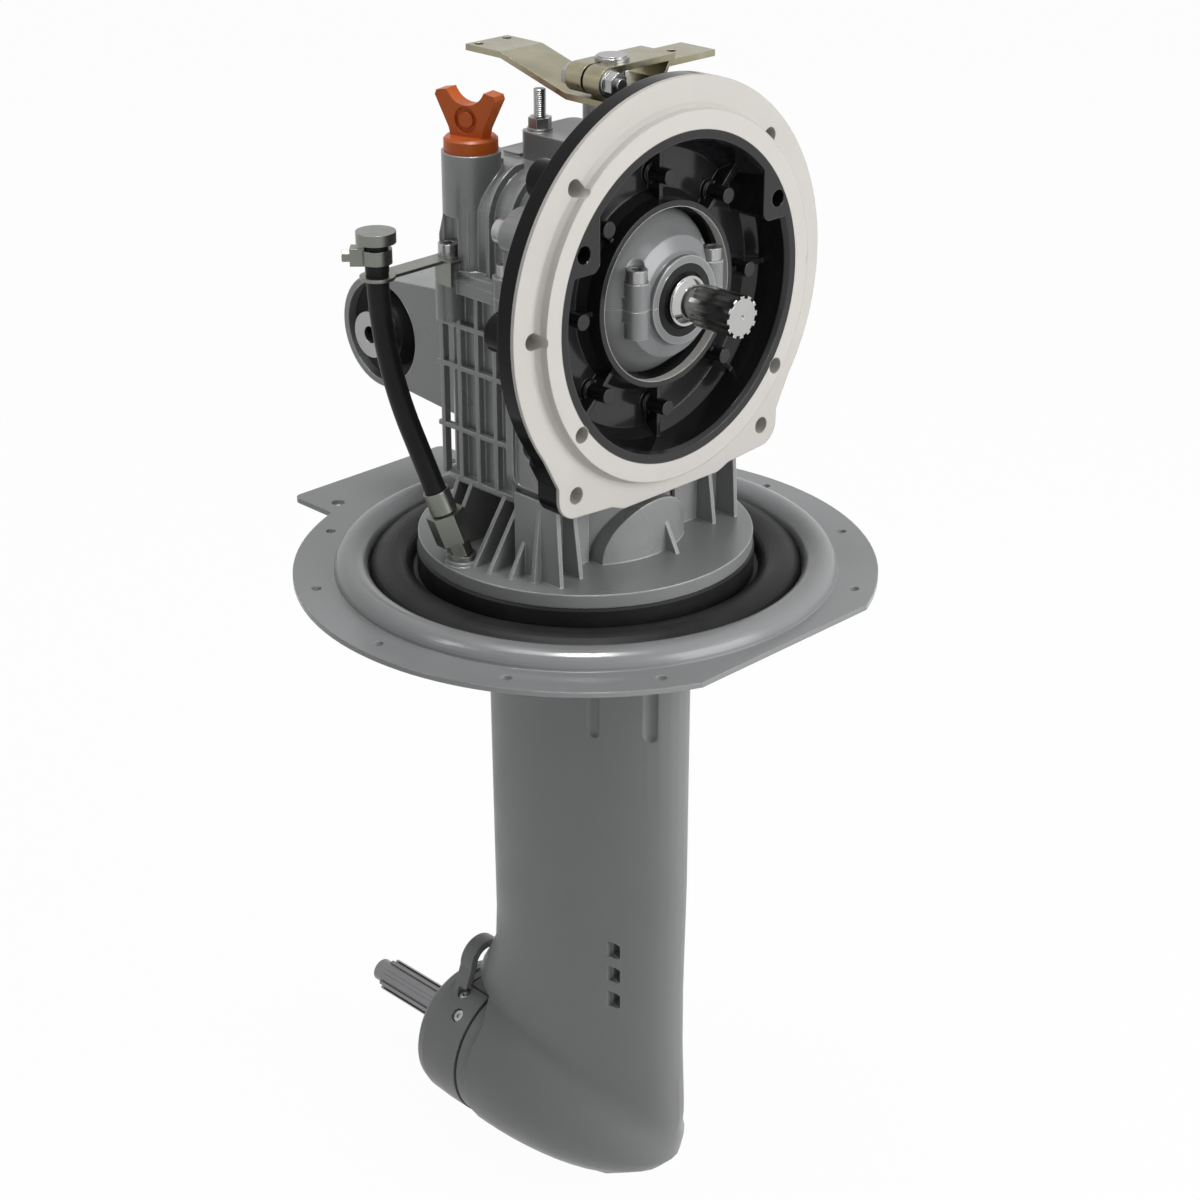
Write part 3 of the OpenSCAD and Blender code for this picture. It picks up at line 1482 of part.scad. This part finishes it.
drain_x = -14;
drain_y = -97;
hose_x = -47;
hose_lean = 19;
hose_run = sqrt(pow(hose_x - drain_x, 2) + pow(hose_side + drain_y, 2));
hose_turn = atan2(-hose_side - drain_y, hose_x - drain_x);
fit_z = base_top + 3;
fit_len = 41;
hose_top = zi + 36;
bend_top = hose_top - 17.86;
lean_len = hose_run * sin(hose_lean) / (1 - cos(hose_lean)) - (bend_top - fit_z);
bend_r = (hose_run - lean_len * sin(hose_lean)) / (1 - cos(hose_lean));

// Frame of the fitting: Z along the leaning part of the hose, X towards the hose's upper end
module at_fitting() {
  translate([drain_x, drain_y, fit_z]) rotate([0, 0, hose_turn]) rotate([0, hose_lean, 0]) children();
}

// Radii of the hose's upper end, which is stretched over the plug's spigot
end_r = hose_r + 0.4;
end_bore_r = hose_r - hose_wall + 0.2;

// Cross section of the hose
module hose_section() {
  difference() {
    circle(hose_r, $fn = 48);
    circle(hose_r - hose_wall, $fn = 48);
  }
}

hose_reach = lean_len * sin(hose_lean) + bend_r * (1 - cos(hose_lean));
hose_x_end = drain_x + hose_reach * cos(hose_turn);
hose_y_end = drain_y + hose_reach * sin(hose_turn);

module oil_hose() {
  color(rubber_black) {
    at_fitting() {
      translate([0, 0, fit_len]) linear_extrude(lean_len - fit_len) hose_section();
      translate([-bend_r, 0, lean_len]) rotate([90, 0, 0])
        rotate_extrude(angle = hose_lean, $fn = 360) translate([bend_r, 0]) hose_section();
    }
    difference() {
      z_cyl(end_r, bend_top - 0.5, hose_top, hose_x_end, hose_y_end);
      z_cyl(end_bore_r, bend_top - 1, hose_top + 1, hose_x_end, hose_y_end);
    }
  }
}

module hose_plug() {
  color(nickel) translate([hose_x_end, hose_y_end, 0]) {
    z_cyl(12.4, hose_top, hose_top + 7);
    z_cyl(end_bore_r - 0.05, hose_top - 16, hose_top);
  }
}

clamp_w = 9;
clamp_z = hose_top - 4 - clamp_w;
module hose_clamp() {
  color(nickel) translate([hose_x_end, hose_y_end, clamp_z])
    difference() {
      union() {
        z_cyl(hose_r + 2.6, 0, clamp_w);
        rotate(225) block([hose_r, -5, -1], [hose_r + 9, 5, clamp_w + 1]);
      }
      z_cyl(end_r + 0.1, -2, clamp_w + 2);
      translate([0, 0, clamp_w / 2]) rotate(225) x_cyl(2.5 + run, hose_r + 3, hose_r + 12, 0, 0);
    }
}

module clamp_screw() {
  color(nickel) translate([hose_x_end, hose_y_end, clamp_z + clamp_w / 2]) rotate([0, 0, 225]) {
    x_cyl(2.5, hose_r + 3, hose_r + 9);
    translate([hose_r + 9, 0, 0]) rotate([0, 90, 0]) hex(7, 0, 5);
  }
}

bracket_plate_t = 2;
bracket_z = zi + 13;
module hose_bracket() {
  bx = cover_bolt_x[0];
  by = -cover_bolt_y;
  color(nickel) {
    translate([0, 0, bracket_z]) linear_extrude(bracket_plate_t)
      difference() {
        union() {
          translate([hose_x_end, hose_y_end]) circle(hose_r + 4);
          translate([hose_x_end, hose_y_end]) rotate(atan2(by - hose_y_end, bx - hose_x_end))
            translate([0, -7]) square([norm([bx - hose_x_end, by - hose_y_end]), 14]);
          translate([bx, by]) circle(8);
          translate([bx - 4, by - 11]) square([18, 9]);
        }
        translate([hose_x_end, hose_y_end]) circle(hose_r + 0.15);
        translate([bx, by]) circle(4 + loose);
      }
    block([bx + 1, by - 11, bracket_z - 14], [bx + 14, by - 11 + bracket_plate_t, bracket_z + 0.5]);
  }
}

module bracket_screw() {
  color(steel)
    translate([cover_bolt_x[0], -cover_bolt_y, bracket_z + bracket_plate_t])
      socket_screw(4, 30 + bracket_plate_t);
}

module hose_ferrule() {
  color(nickel) at_fitting()
    difference() {
      union() {
        z_cyl(hose_r + 1.6, 34, 49);
        z_cyl(hose_r - 0.5, 28, 35);
      }
      z_cyl(hose_r + 0.1, fit_len, fit_len + 9);
      z_cyl(3, 27, 42);
    }
}

module union_nut() {
  color(nickel) at_fitting()
    difference() {
      hex(22, 13, 33);
      z_cyl(hose_r + 0.1, 12, 34);
      z_cyl(8 + run, 12, 26);
    }
}

module drain_fitting() {
  color(nickel) {
    at_fitting()
      difference() {
        union() {
          hex(14, 2.5, 13);
          z_cyl(8, 13, 25.5);
        }
        z_cyl(3, 6, 30);
      }
    translate([drain_x, drain_y, 0]) {
      z_cyl(9, fit_z, fit_z + 3.2);
      z_cyl(5, base_top - 2, fit_z + 1);
    }
  }
}

leg_housing();
propeller_collar();
collar_screws();
propeller_shaft();
propeller_gear();
propeller_bearings();
propeller_seal();
lower_pinion();
lower_shaft();
leg_bearings();
shaft_coupling();
upper_shaft();
upper_idler_gear();
lower_idler_gear();
upper_gear_bush();
lower_gear_bush();
idler_bearings();
clutch_sleeve();
shift_rod();
shift_fork();
fork_guide();
input_shaft();
input_gear();
input_bearing();
input_seal();
main_housing();
top_cover();
cover_bolts();
nose_bolts();
bell_housing();
bell_bolts();
leg_bolts();
hull_ring();
diaphragm();
mount_bracket();
bracket_bolts();
mount_rubber();
mount_sleeve();
dipstick_cap();
dipstick_rod();
dipstick_seal();
top_stud();
top_nut();
shift_shaft();
lever_arm();
lever_clamp();
clamp_bolt();
clamp_nut();
oil_hose();
hose_plug();
hose_clamp();
clamp_screw();
hose_bracket();
bracket_screw();
hose_ferrule();
union_nut();
drain_fitting();
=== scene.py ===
"""Saildrive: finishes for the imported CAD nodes, the stud's thread, lights, floor and camera."""
import json
import math

import bpy
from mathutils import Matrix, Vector


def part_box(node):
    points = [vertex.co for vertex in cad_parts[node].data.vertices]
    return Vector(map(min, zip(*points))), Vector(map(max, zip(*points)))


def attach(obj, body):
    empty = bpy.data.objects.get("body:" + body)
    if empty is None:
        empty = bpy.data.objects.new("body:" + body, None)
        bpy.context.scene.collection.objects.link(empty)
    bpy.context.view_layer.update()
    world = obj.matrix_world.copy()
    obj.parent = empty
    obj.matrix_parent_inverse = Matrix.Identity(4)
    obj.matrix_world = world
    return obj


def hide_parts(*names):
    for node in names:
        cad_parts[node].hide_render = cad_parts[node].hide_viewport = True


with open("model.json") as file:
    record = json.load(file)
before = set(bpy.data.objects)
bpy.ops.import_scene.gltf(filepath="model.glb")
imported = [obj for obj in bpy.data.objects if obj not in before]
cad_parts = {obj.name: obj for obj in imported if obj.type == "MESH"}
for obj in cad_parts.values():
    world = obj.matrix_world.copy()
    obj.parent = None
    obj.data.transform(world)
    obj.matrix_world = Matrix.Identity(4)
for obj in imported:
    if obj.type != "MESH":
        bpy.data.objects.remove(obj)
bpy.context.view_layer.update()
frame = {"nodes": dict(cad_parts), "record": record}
nodes = frame["nodes"]
record = frame["record"]
scene = bpy.context.scene

# Places in metres, from the frame and from the bell's own sizes
MM = 0.001
bell_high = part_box("bell_housing")[1]
leg_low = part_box("leg_housing")[0]
shaft_low, shaft_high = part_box("input_shaft")
stud_low, stud_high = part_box("top_stud")
AXIS_Z = (shaft_low.z + shaft_high.z) / 2  # height of the engine's axis
PILOT_H = 8 * MM  # how far the bell's pilot stands in front of its flange
PILOT_BORE = 104.5 * MM
FLANGE_FACE = bell_high.x - PILOT_H
WINDOW = 54.7 * MM  # radius of the bell's round window, which the nose fills
WINDOW_FACE = 66 * MM
NOSE_START = 50 * MM  # in front of this and above NOSE_FOOT, the casting is the nose in the bell
NOSE_FOOT = 100 * MM
HOLE_MARGIN = 0.3 * MM  # keeps a bore's own wall inside its mask
FLOOR_Z = leg_low.z - 1 * MM

# Linear colours
CAST = (0.26, 0.264, 0.266)
CAST_TOP = (0.25, 0.254, 0.256)
NOSE = (0.21, 0.214, 0.217)
LEG = (0.225, 0.228, 0.23)
RING = (0.25, 0.255, 0.258)
BLACK = (0.011, 0.011, 0.012)
CREAM = (0.53, 0.51, 0.48)
RUBBER = (0.014, 0.014, 0.0145)
STEEL = (0.34, 0.34, 0.34)
DARK_STEEL = (0.2, 0.2, 0.205)
BRIGHT = (0.5, 0.5, 0.49)
ZINC = (0.3, 0.275, 0.18)
ZINC_GREEN = (0.33, 0.315, 0.23)
ZINC_ROSE = (0.27, 0.225, 0.21)
NICKEL = (0.2, 0.207, 0.185)
ORANGE = (0.52, 0.1, 0.008)
BRONZE = (0.5, 0.3, 0.12)
WHITE = (1, 1, 1, 1)
FLOOR_TONE = (0.85, 0.85, 0.85, 1)

# Stretch of the noise that draws a lathe's marks round a shaft along X
LATHE = (1, 0.03, 0.03)


class Nodes:
    """A material's node tree, with short calls for the nodes that the finishes share."""

    SOCKETS = {
        "colour": "Base Color",
        "rough": "Roughness",
        "metal": "Metallic",
        "shine": "Specular IOR Level",
        "soak": "Subsurface Weight",
        "soak_depth": "Subsurface Radius",
        "normal": "Normal",
    }

    def __init__(self, name):
        self.mat = bpy.data.materials.new(name)
        self.mat.use_nodes = True
        self.tree = self.mat.node_tree
        self.tree.nodes.clear()
        self.shader = self.node("BsdfPrincipled")
        self.node("OutputMaterial", Surface=self.shader.outputs[0])
        self.where = self.node("TexCoord").outputs["Object"]

    def node(self, kind, **inputs):
        """A new node, with its inputs set by name."""
        n = self.tree.nodes.new("ShaderNode" + kind)
        for name, value in inputs.items():
            self.set(n.inputs[name], value)
        return n

    def set(self, socket, value):
        """A number or a colour goes on the socket itself and anything else is linked."""
        if isinstance(value, tuple):
            socket.default_value = (*value, 1)[:len(socket.default_value)]
        elif isinstance(value, (int, float)):
            socket.default_value = value
        else:
            self.tree.links.new(value, socket)

    def noise(self, scale, detail=3.0, rough=0.5, stretch=None):
        """Noise in the object's own place, with the place stretched by three factors if given."""
        where = self.node("Mapping", Vector=self.where, Scale=stretch).outputs[0] if stretch else self.where
        return self.node("TexNoise", Vector=where, Scale=scale, Detail=detail, Roughness=rough).outputs["Fac"]

    def math(self, kind, a, b=0.0):
        n = self.node("Math")
        n.operation = kind
        self.set(n.inputs[0], a)
        self.set(n.inputs[1], b)
        return n.outputs[0]

    def length(self, a, b):
        """Length of the flat vector (a, b)."""
        return self.math("SQRT", self.math("ADD", self.math("MULTIPLY", a, a), self.math("MULTIPLY", b, b)))

    def spread(self, value, low, high, to_low=0.0, to_high=1.0):
        """Maps low to to_low and high to to_high, and holds the ends."""
        ends = {"From Min": low, "From Max": high, "To Min": to_low, "To Max": to_high}
        return self.node("MapRange", Value=value, **ends).outputs["Result"]

    def past(self, value, place):
        """1 where the value is past the place, with a soft step 1 mm wide."""
        return self.spread(value, place - 0.5 * MM, place + 0.5 * MM)

    def mix(self, share, a, b):
        """Colour a, and colour b where the share is 1."""
        n = self.node("Mix")
        n.data_type = "RGBA"
        self.set(n.inputs["Factor"], share)
        self.set(n.inputs[6], a)
        self.set(n.inputs[7], b)
        return n.outputs[2]

    def tones(self, share, colour, dark, light):
        """The colour from a darker to a lighter tone of itself."""
        return self.mix(share, shade(colour, dark), shade(colour, light))

    def apart(self):
        """X, Y and Z of the place in the object."""
        return self.node("SeparateXYZ", Vector=self.where).outputs

    def edges(self, radius):
        """Rounded normal near edges, and a mask of how far it turns there."""
        bevel = self.node("Bevel", Radius=radius)
        bevel.samples = 4
        dot = self.node("VectorMath")
        dot.operation = "DOT_PRODUCT"
        self.set(dot.inputs[0], bevel.outputs[0])
        self.set(dot.inputs[1], self.node("NewGeometry").outputs["Normal"])
        return bevel.outputs[0], self.spread(dot.outputs["Value"], 1.0, 0.75)

    def bump(self, height, distance, strength, normal):
        bump = self.node("Bump", Height=height, Distance=distance, Strength=strength, Normal=normal)
        return bump.outputs[0]

    def finish(self, **sockets):
        """Sets the shader's sockets by their short names and gives the material."""
        for name, value in sockets.items():
            self.set(self.shader.inputs[self.SOCKETS[name]], value)
        return self.mat


def shade(colour, factor):
    return tuple(min(1.0, channel * factor) for channel in colour)


def painted(name, colour, rough=0.3, metal=0.15, grain=0.008 * MM, highlight_lift=2.6, shine=0.3, nose=False):
    """Painted cast alloy: a fine skin, a cloudy tone, and a painted highlight that lightens the edges, broken
    up by noise.
    """
    m = Nodes(name)
    cloud = m.noise(14, 4, 0.6)
    normal, highlit_edge = m.edges(1.5 * MM)
    base = m.tones(cloud, colour, 0.96, 1.05)
    if nose:
        along, _, height = m.apart()
        front = m.math("MULTIPLY", m.past(along, NOSE_START), m.past(height, NOSE_FOOT))
        base = m.mix(front, base, m.tones(cloud, NOSE, 0.95, 1.05))
        metal = m.spread(front, 0.0, 1.0, metal, 0.2)
    # Painted highlight: the edges are drawn lighter, broken up by noise.
    edge_highlight = m.math("MULTIPLY", highlit_edge, m.spread(m.noise(90), 0.3, 0.7, 0.6, 1.0))
    return m.finish(
        colour=m.mix(edge_highlight, base, shade(colour, highlight_lift)),
        rough=m.spread(m.noise(40, 1, 0.4), 0.3, 0.7, rough - 0.03, rough + 0.05),
        metal=metal,
        shine=shine,
        normal=m.bump(m.noise(160, 2), grain, 0.7, normal),
    )


def machined(name, colour, rough, marks=None, tint=None):
    """Machined or plated metal: fine tool marks and a slightly uneven polish."""
    m = Nodes(name)
    normal, highlit_edge = m.edges(0.5 * MM)
    grain = m.noise(900, 2, stretch=marks) if marks else m.noise(500, 2)
    if tint:
        base = tint(m, colour)
    else:
        # Painted highlight: the edges are drawn 1.25 times lighter.
        base = m.mix(highlit_edge, m.tones(m.noise(40, 3, 0.6), colour, 0.86, 1.08), shade(colour, 1.25))
    return m.finish(
        colour=base,
        rough=m.spread(m.noise(120), 0.3, 0.7, rough - 0.05, rough + 0.08),
        metal=1.0,
        normal=m.bump(grain, 0.03 * MM, 0.6, normal),
    )


def passivated(m, colour):
    """A straw tone that drifts to green and rose in clouds."""
    straw = m.mix(m.spread(m.noise(22, 4, 0.6), 0.35, 0.65), shade(colour, 0.82), ZINC_GREEN)
    return m.mix(m.spread(m.noise(31), 0.58, 0.7, 0.0, 0.25), straw, ZINC_ROSE)


def rubber(name, colour):
    """Moulded rubber: a faint dusty bloom over black and a fine skin."""
    m = Nodes(name)
    bloom = m.noise(25, 5, 0.7)
    normal, _ = m.edges(0.6 * MM)
    return m.finish(
        colour=m.tones(m.spread(bloom, 0.35, 0.75), colour, 0.8, 1.5),
        rough=m.spread(bloom, 0.3, 0.7, 0.36, 0.52),
        shine=0.14,
        normal=m.bump(m.noise(1200, 2), 0.04 * MM, 0.5, normal),
    )


def plastic(name, colour):
    """Moulded plastic that light soaks into, with faint flow marks."""
    m = Nodes(name)
    flow = m.noise(35)
    normal, _ = m.edges(0.8 * MM)
    return m.finish(
        colour=m.tones(flow, colour, 0.88, 1.06),
        rough=m.spread(flow, 0.3, 0.7, 0.34, 0.44),
        soak=0.12,
        soak_depth=(4 * MM, 1.5 * MM, 0.6 * MM),
        shine=0.3,
        normal=m.bump(m.noise(1500, 2), 0.03 * MM, 0.5, normal),
    )


def flange_holes():
    """Each pair of holes in the bell's flange: distance from the middle, height and radius."""
    for mount in record["mounts"]:
        if mount["name"].startswith("bell_") and mount["kind"] == "bolt_pattern":
            dims = mount["dims"]
            yield dims["spacing_x_mm"] / 2 * MM, mount["pos_m"][2], dims["hole_r_mm"] * MM


def bell_finish(name):
    """Gloss black paint, with a pale tone on the flange's face, the pilot, the bores and the window's rim."""
    m = Nodes(name)
    along, across, height = m.apart()
    radius = m.length(across, m.math("SUBTRACT", height, AXIS_Z))
    front = m.spread(along, FLANGE_FACE - 2.6 * MM, FLANGE_FACE - 2.2 * MM)
    outside = m.spread(radius, PILOT_BORE - 0.8 * MM, PILOT_BORE - 0.2 * MM)
    pale = m.math("MULTIPLY", front, outside)
    in_window = m.math("LESS_THAN", radius, WINDOW + HOLE_MARGIN)
    rim = m.math("MULTIPLY", in_window, m.math("GREATER_THAN", along, WINDOW_FACE))
    pale = m.math("MAXIMUM", pale, rim)
    side = m.math("ABSOLUTE", across)
    for hole_y, hole_z, hole_r in flange_holes():
        span = m.length(m.math("SUBTRACT", side, hole_y), m.math("SUBTRACT", height, hole_z))
        pale = m.math("MAXIMUM", pale, m.math("LESS_THAN", span, hole_r + HOLE_MARGIN))
    normal, highlit_edge = m.edges(1.2 * MM)
    # Painted highlight: the black is drawn lighter along the edges.
    black = m.mix(highlit_edge, BLACK, shade(BLACK, 2.2))
    cream = m.tones(m.noise(18, 4, 0.6), CREAM, 0.93, 1.05)
    return m.finish(
        colour=m.mix(pale, black, cream),
        rough=m.spread(pale, 0.0, 1.0, 0.13, 0.34),
        shine=m.spread(radius, 118 * MM, 124 * MM, 0.4, 0.08),
        normal=m.bump(m.noise(260, 3, 0.6), 0.08 * MM, 0.35, normal),
    )


# Finishes by the record's material slot, and the nodes that have one of their own
cover_paint = painted("cover_paint", CAST_TOP, metal=0.2, nose=True)
leg_paint = painted("leg_paint", LEG, rough=0.36, metal=0.05, highlight_lift=1.5, shine=0.16)
FINISH = {
    "cast_alloy": painted("cast_paint", CAST, nose=True),
    "ring_alloy": painted("ring_paint", RING, rough=0.2, metal=0.08, grain=0.005 * MM, highlight_lift=1.5, shine=0.2),
    "steel": machined("steel", STEEL, rough=0.3),
    "dark_steel": machined("black_steel", DARK_STEEL, rough=0.32),
    "gloss_black": bell_finish("bell_paint"),
    "rubber": rubber("rubber", RUBBER),
    "orange_plastic": plastic("orange_plastic", ORANGE),
    "zinc": machined("yellow_zinc", ZINC, rough=0.3, tint=passivated),
    "nickel": machined("nickel", NICKEL, rough=0.34),
    "bronze": machined("bronze", BRONZE, rough=0.28),
}
OWN_FINISH = {
    "leg_housing": leg_paint,
    "propeller_collar": leg_paint,
    "top_cover": cover_paint,
    "mount_bracket": cover_paint,
    "input_shaft": machined("ground_steel", BRIGHT, rough=0.14, marks=LATHE),
    "propeller_shaft": machined("shaft_steel", DARK_STEEL, rough=0.16, marks=LATHE),
}
slots = {row["node"]: row["material_slot"] for row in record["subparts"]}
for name, obj in nodes.items():
    obj.data.materials.clear()
    obj.data.materials.append(OWN_FINISH.get(name, FINISH[slots[name]]))


def smooth(obj, degrees):
    """Shades the facets of a lofted casting as one surface and keeps its real edges. The vertices stay."""
    mesh = obj.data
    if mesh.has_custom_normals:
        mesh.attributes.remove(mesh.attributes["custom_normal"])
    mesh.shade_smooth()
    weld = obj.modifiers.new("weld", "WELD")
    weld.merge_threshold = 1e-6
    split = obj.modifiers.new("edges", "EDGE_SPLIT")
    split.split_angle = math.radians(degrees)
    split.use_edge_sharp = False


smooth(nodes["leg_housing"], degrees=28)


def turned(name, profile, place, material, around=48):
    """A turned piece about Z from (radius, height) points, closed at both ends."""
    verts = []
    for r, z in profile:
        for i in range(around):
            a = math.tau * i / around
            verts.append((place.x + r * math.cos(a), place.y + r * math.sin(a), z))
    faces = []
    for low in range(0, (len(profile) - 1) * around, around):
        high = low + around
        for i in range(around):
            j = (i + 1) % around
            faces.append((low + i, low + j, high + j, high + i))
    faces.append(tuple(range(around - 1, -1, -1)))
    faces.append(tuple(range((len(profile) - 1) * around, len(profile) * around)))
    mesh = bpy.data.meshes.new(name)
    mesh.from_pydata(verts, [], faces)
    mesh.materials.append(material)
    obj = bpy.data.objects.new(name, mesh)
    scene.collection.objects.link(obj)
    return obj


def thread(low, high, crest_r, pitch, plain):
    """Profile of a bolt's thread as rings: a plain foot, then a crest and a short flat root each pitch."""
    root_r = 0.86 * crest_r
    profile = [(crest_r, low)]
    rise = low + plain
    while rise < high - pitch:
        profile += [(crest_r, rise), (root_r, rise + 0.45 * pitch), (root_r, rise + 0.55 * pitch)]
        rise += pitch
    return profile + [(crest_r, rise), (root_r, high)]


# The thread of the stud on the top cover, an M8
stud_profile = thread(stud_low.z, stud_high.z, crest_r=4 * MM, pitch=1.25 * MM, plain=6 * MM)
stud = turned("threaded_stud", stud_profile, (stud_low + stud_high) / 2, FINISH["steel"])
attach(stud, "drive_unit")
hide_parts("top_stud")


def seen(tree):
    """1 for rays that show the background itself."""
    path = tree.nodes.new("ShaderNodeLightPath")
    total = path.outputs["Is Camera Ray"]
    for ray in ("Is Glossy Ray", "Is Transmission Ray"):
        n = tree.nodes.new("ShaderNodeMath")
        n.operation = "MAXIMUM"
        tree.links.new(total, n.inputs[0])
        tree.links.new(path.outputs[ray], n.inputs[1])
        total = n.outputs[0]
    return total


def split_looks(tree, output, share, lighting, shown):
    """Uses one shader for lighting and the other for rays that show the background."""
    mix = tree.nodes.new("ShaderNodeMixShader")
    tree.links.new(share, mix.inputs[0])
    tree.links.new(lighting.outputs[0], mix.inputs[1])
    tree.links.new(shown.outputs[0], mix.inputs[2])
    tree.links.new(mix.outputs[0], tree.nodes.new(output).inputs[0])


def white_background(tree, strength):
    background = tree.nodes.new("ShaderNodeBackground")
    background.inputs["Color"].default_value = WHITE
    background.inputs["Strength"].default_value = strength
    return background


def set_world(light):
    """A studio that lights softly and shows as plain white."""
    world = bpy.data.worlds.new("studio")
    world.use_nodes = True
    tree = world.node_tree
    tree.nodes.clear()
    lit = white_background(tree, light)
    white = white_background(tree, 1.0)
    split_looks(tree, "ShaderNodeOutputWorld", seen(tree), lit, white)
    scene.world = world


def make_floor(level, size, glow_share):
    """A pale floor that shows nearly white, with a faint shadow in the rest."""
    h = size / 2
    mesh = bpy.data.meshes.new("floor")
    mesh.from_pydata([(-h, -h, level), (h, -h, level), (h, h, level), (-h, h, level)], [], [(0, 1, 2, 3)])
    floor = bpy.data.objects.new("floor", mesh)
    scene.collection.objects.link(floor)
    material = bpy.data.materials.new("floor")
    material.use_nodes = True
    tree = material.node_tree
    tree.nodes.clear()
    pale = tree.nodes.new("ShaderNodeBsdfDiffuse")
    pale.inputs["Color"].default_value = FLOOR_TONE
    glow = tree.nodes.new("ShaderNodeEmission")
    share = tree.nodes.new("ShaderNodeMath")
    share.operation = "MULTIPLY"
    share.inputs[1].default_value = glow_share
    tree.links.new(seen(tree), share.inputs[0])
    split_looks(tree, "ShaderNodeOutputMaterial", share.outputs[0], pale, glow)
    mesh.materials.append(material)


def aim(obj, place, target):
    """Puts a lamp or a camera at a place, looking at the target."""
    obj.location = place
    obj.rotation_euler = (Vector(target) - Vector(place)).to_track_quat("-Z", "Y").to_euler()


def lamp(name, place, size, power, glint=False):
    """An area lamp, aimed at the origin. A glint only shows in reflections, and lights no surface."""
    data = bpy.data.lights.new(name, "AREA")
    data.shape = "RECTANGLE"
    data.size, data.size_y = size
    data.energy = power
    obj = bpy.data.objects.new(name, data)
    scene.collection.objects.link(obj)
    obj.visible_diffuse = not glint
    aim(obj, place, (0, 0, 0))


def set_camera(place, look, lens):
    """A camera at a place that looks along a direction."""
    data = bpy.data.cameras.new("camera")
    data.lens = lens
    data.sensor_width = 36
    data.clip_end = 100
    camera = bpy.data.objects.new("camera", data)
    scene.collection.objects.link(camera)
    aim(camera, place, place + look)
    scene.camera = camera


# The stage. The camera was fitted to the photograph
scene.view_settings.view_transform = "Standard"
set_world(light=0.3)
make_floor(FLOOR_Z, size=40, glow_share=0.97)
lamp("key", (2.3, 0.55, 0.9), size=(1.8, 1.8), power=56)
lamp("top", (-0.3, -0.3, 2.6), size=(1.0, 1.0), power=27)
lamp("glint_top", (0.35, -0.35, 2.4), size=(0.5, 0.5), power=50, glint=True)
lamp("glint_side", (-0.9, -2.0, 1.6), size=(0.3, 0.9), power=12, glint=True)
set_camera(Vector((1.0644, -1.0498, 0.6714)), Vector((-0.6404, 0.6398, -0.4248)), lens=73.58)
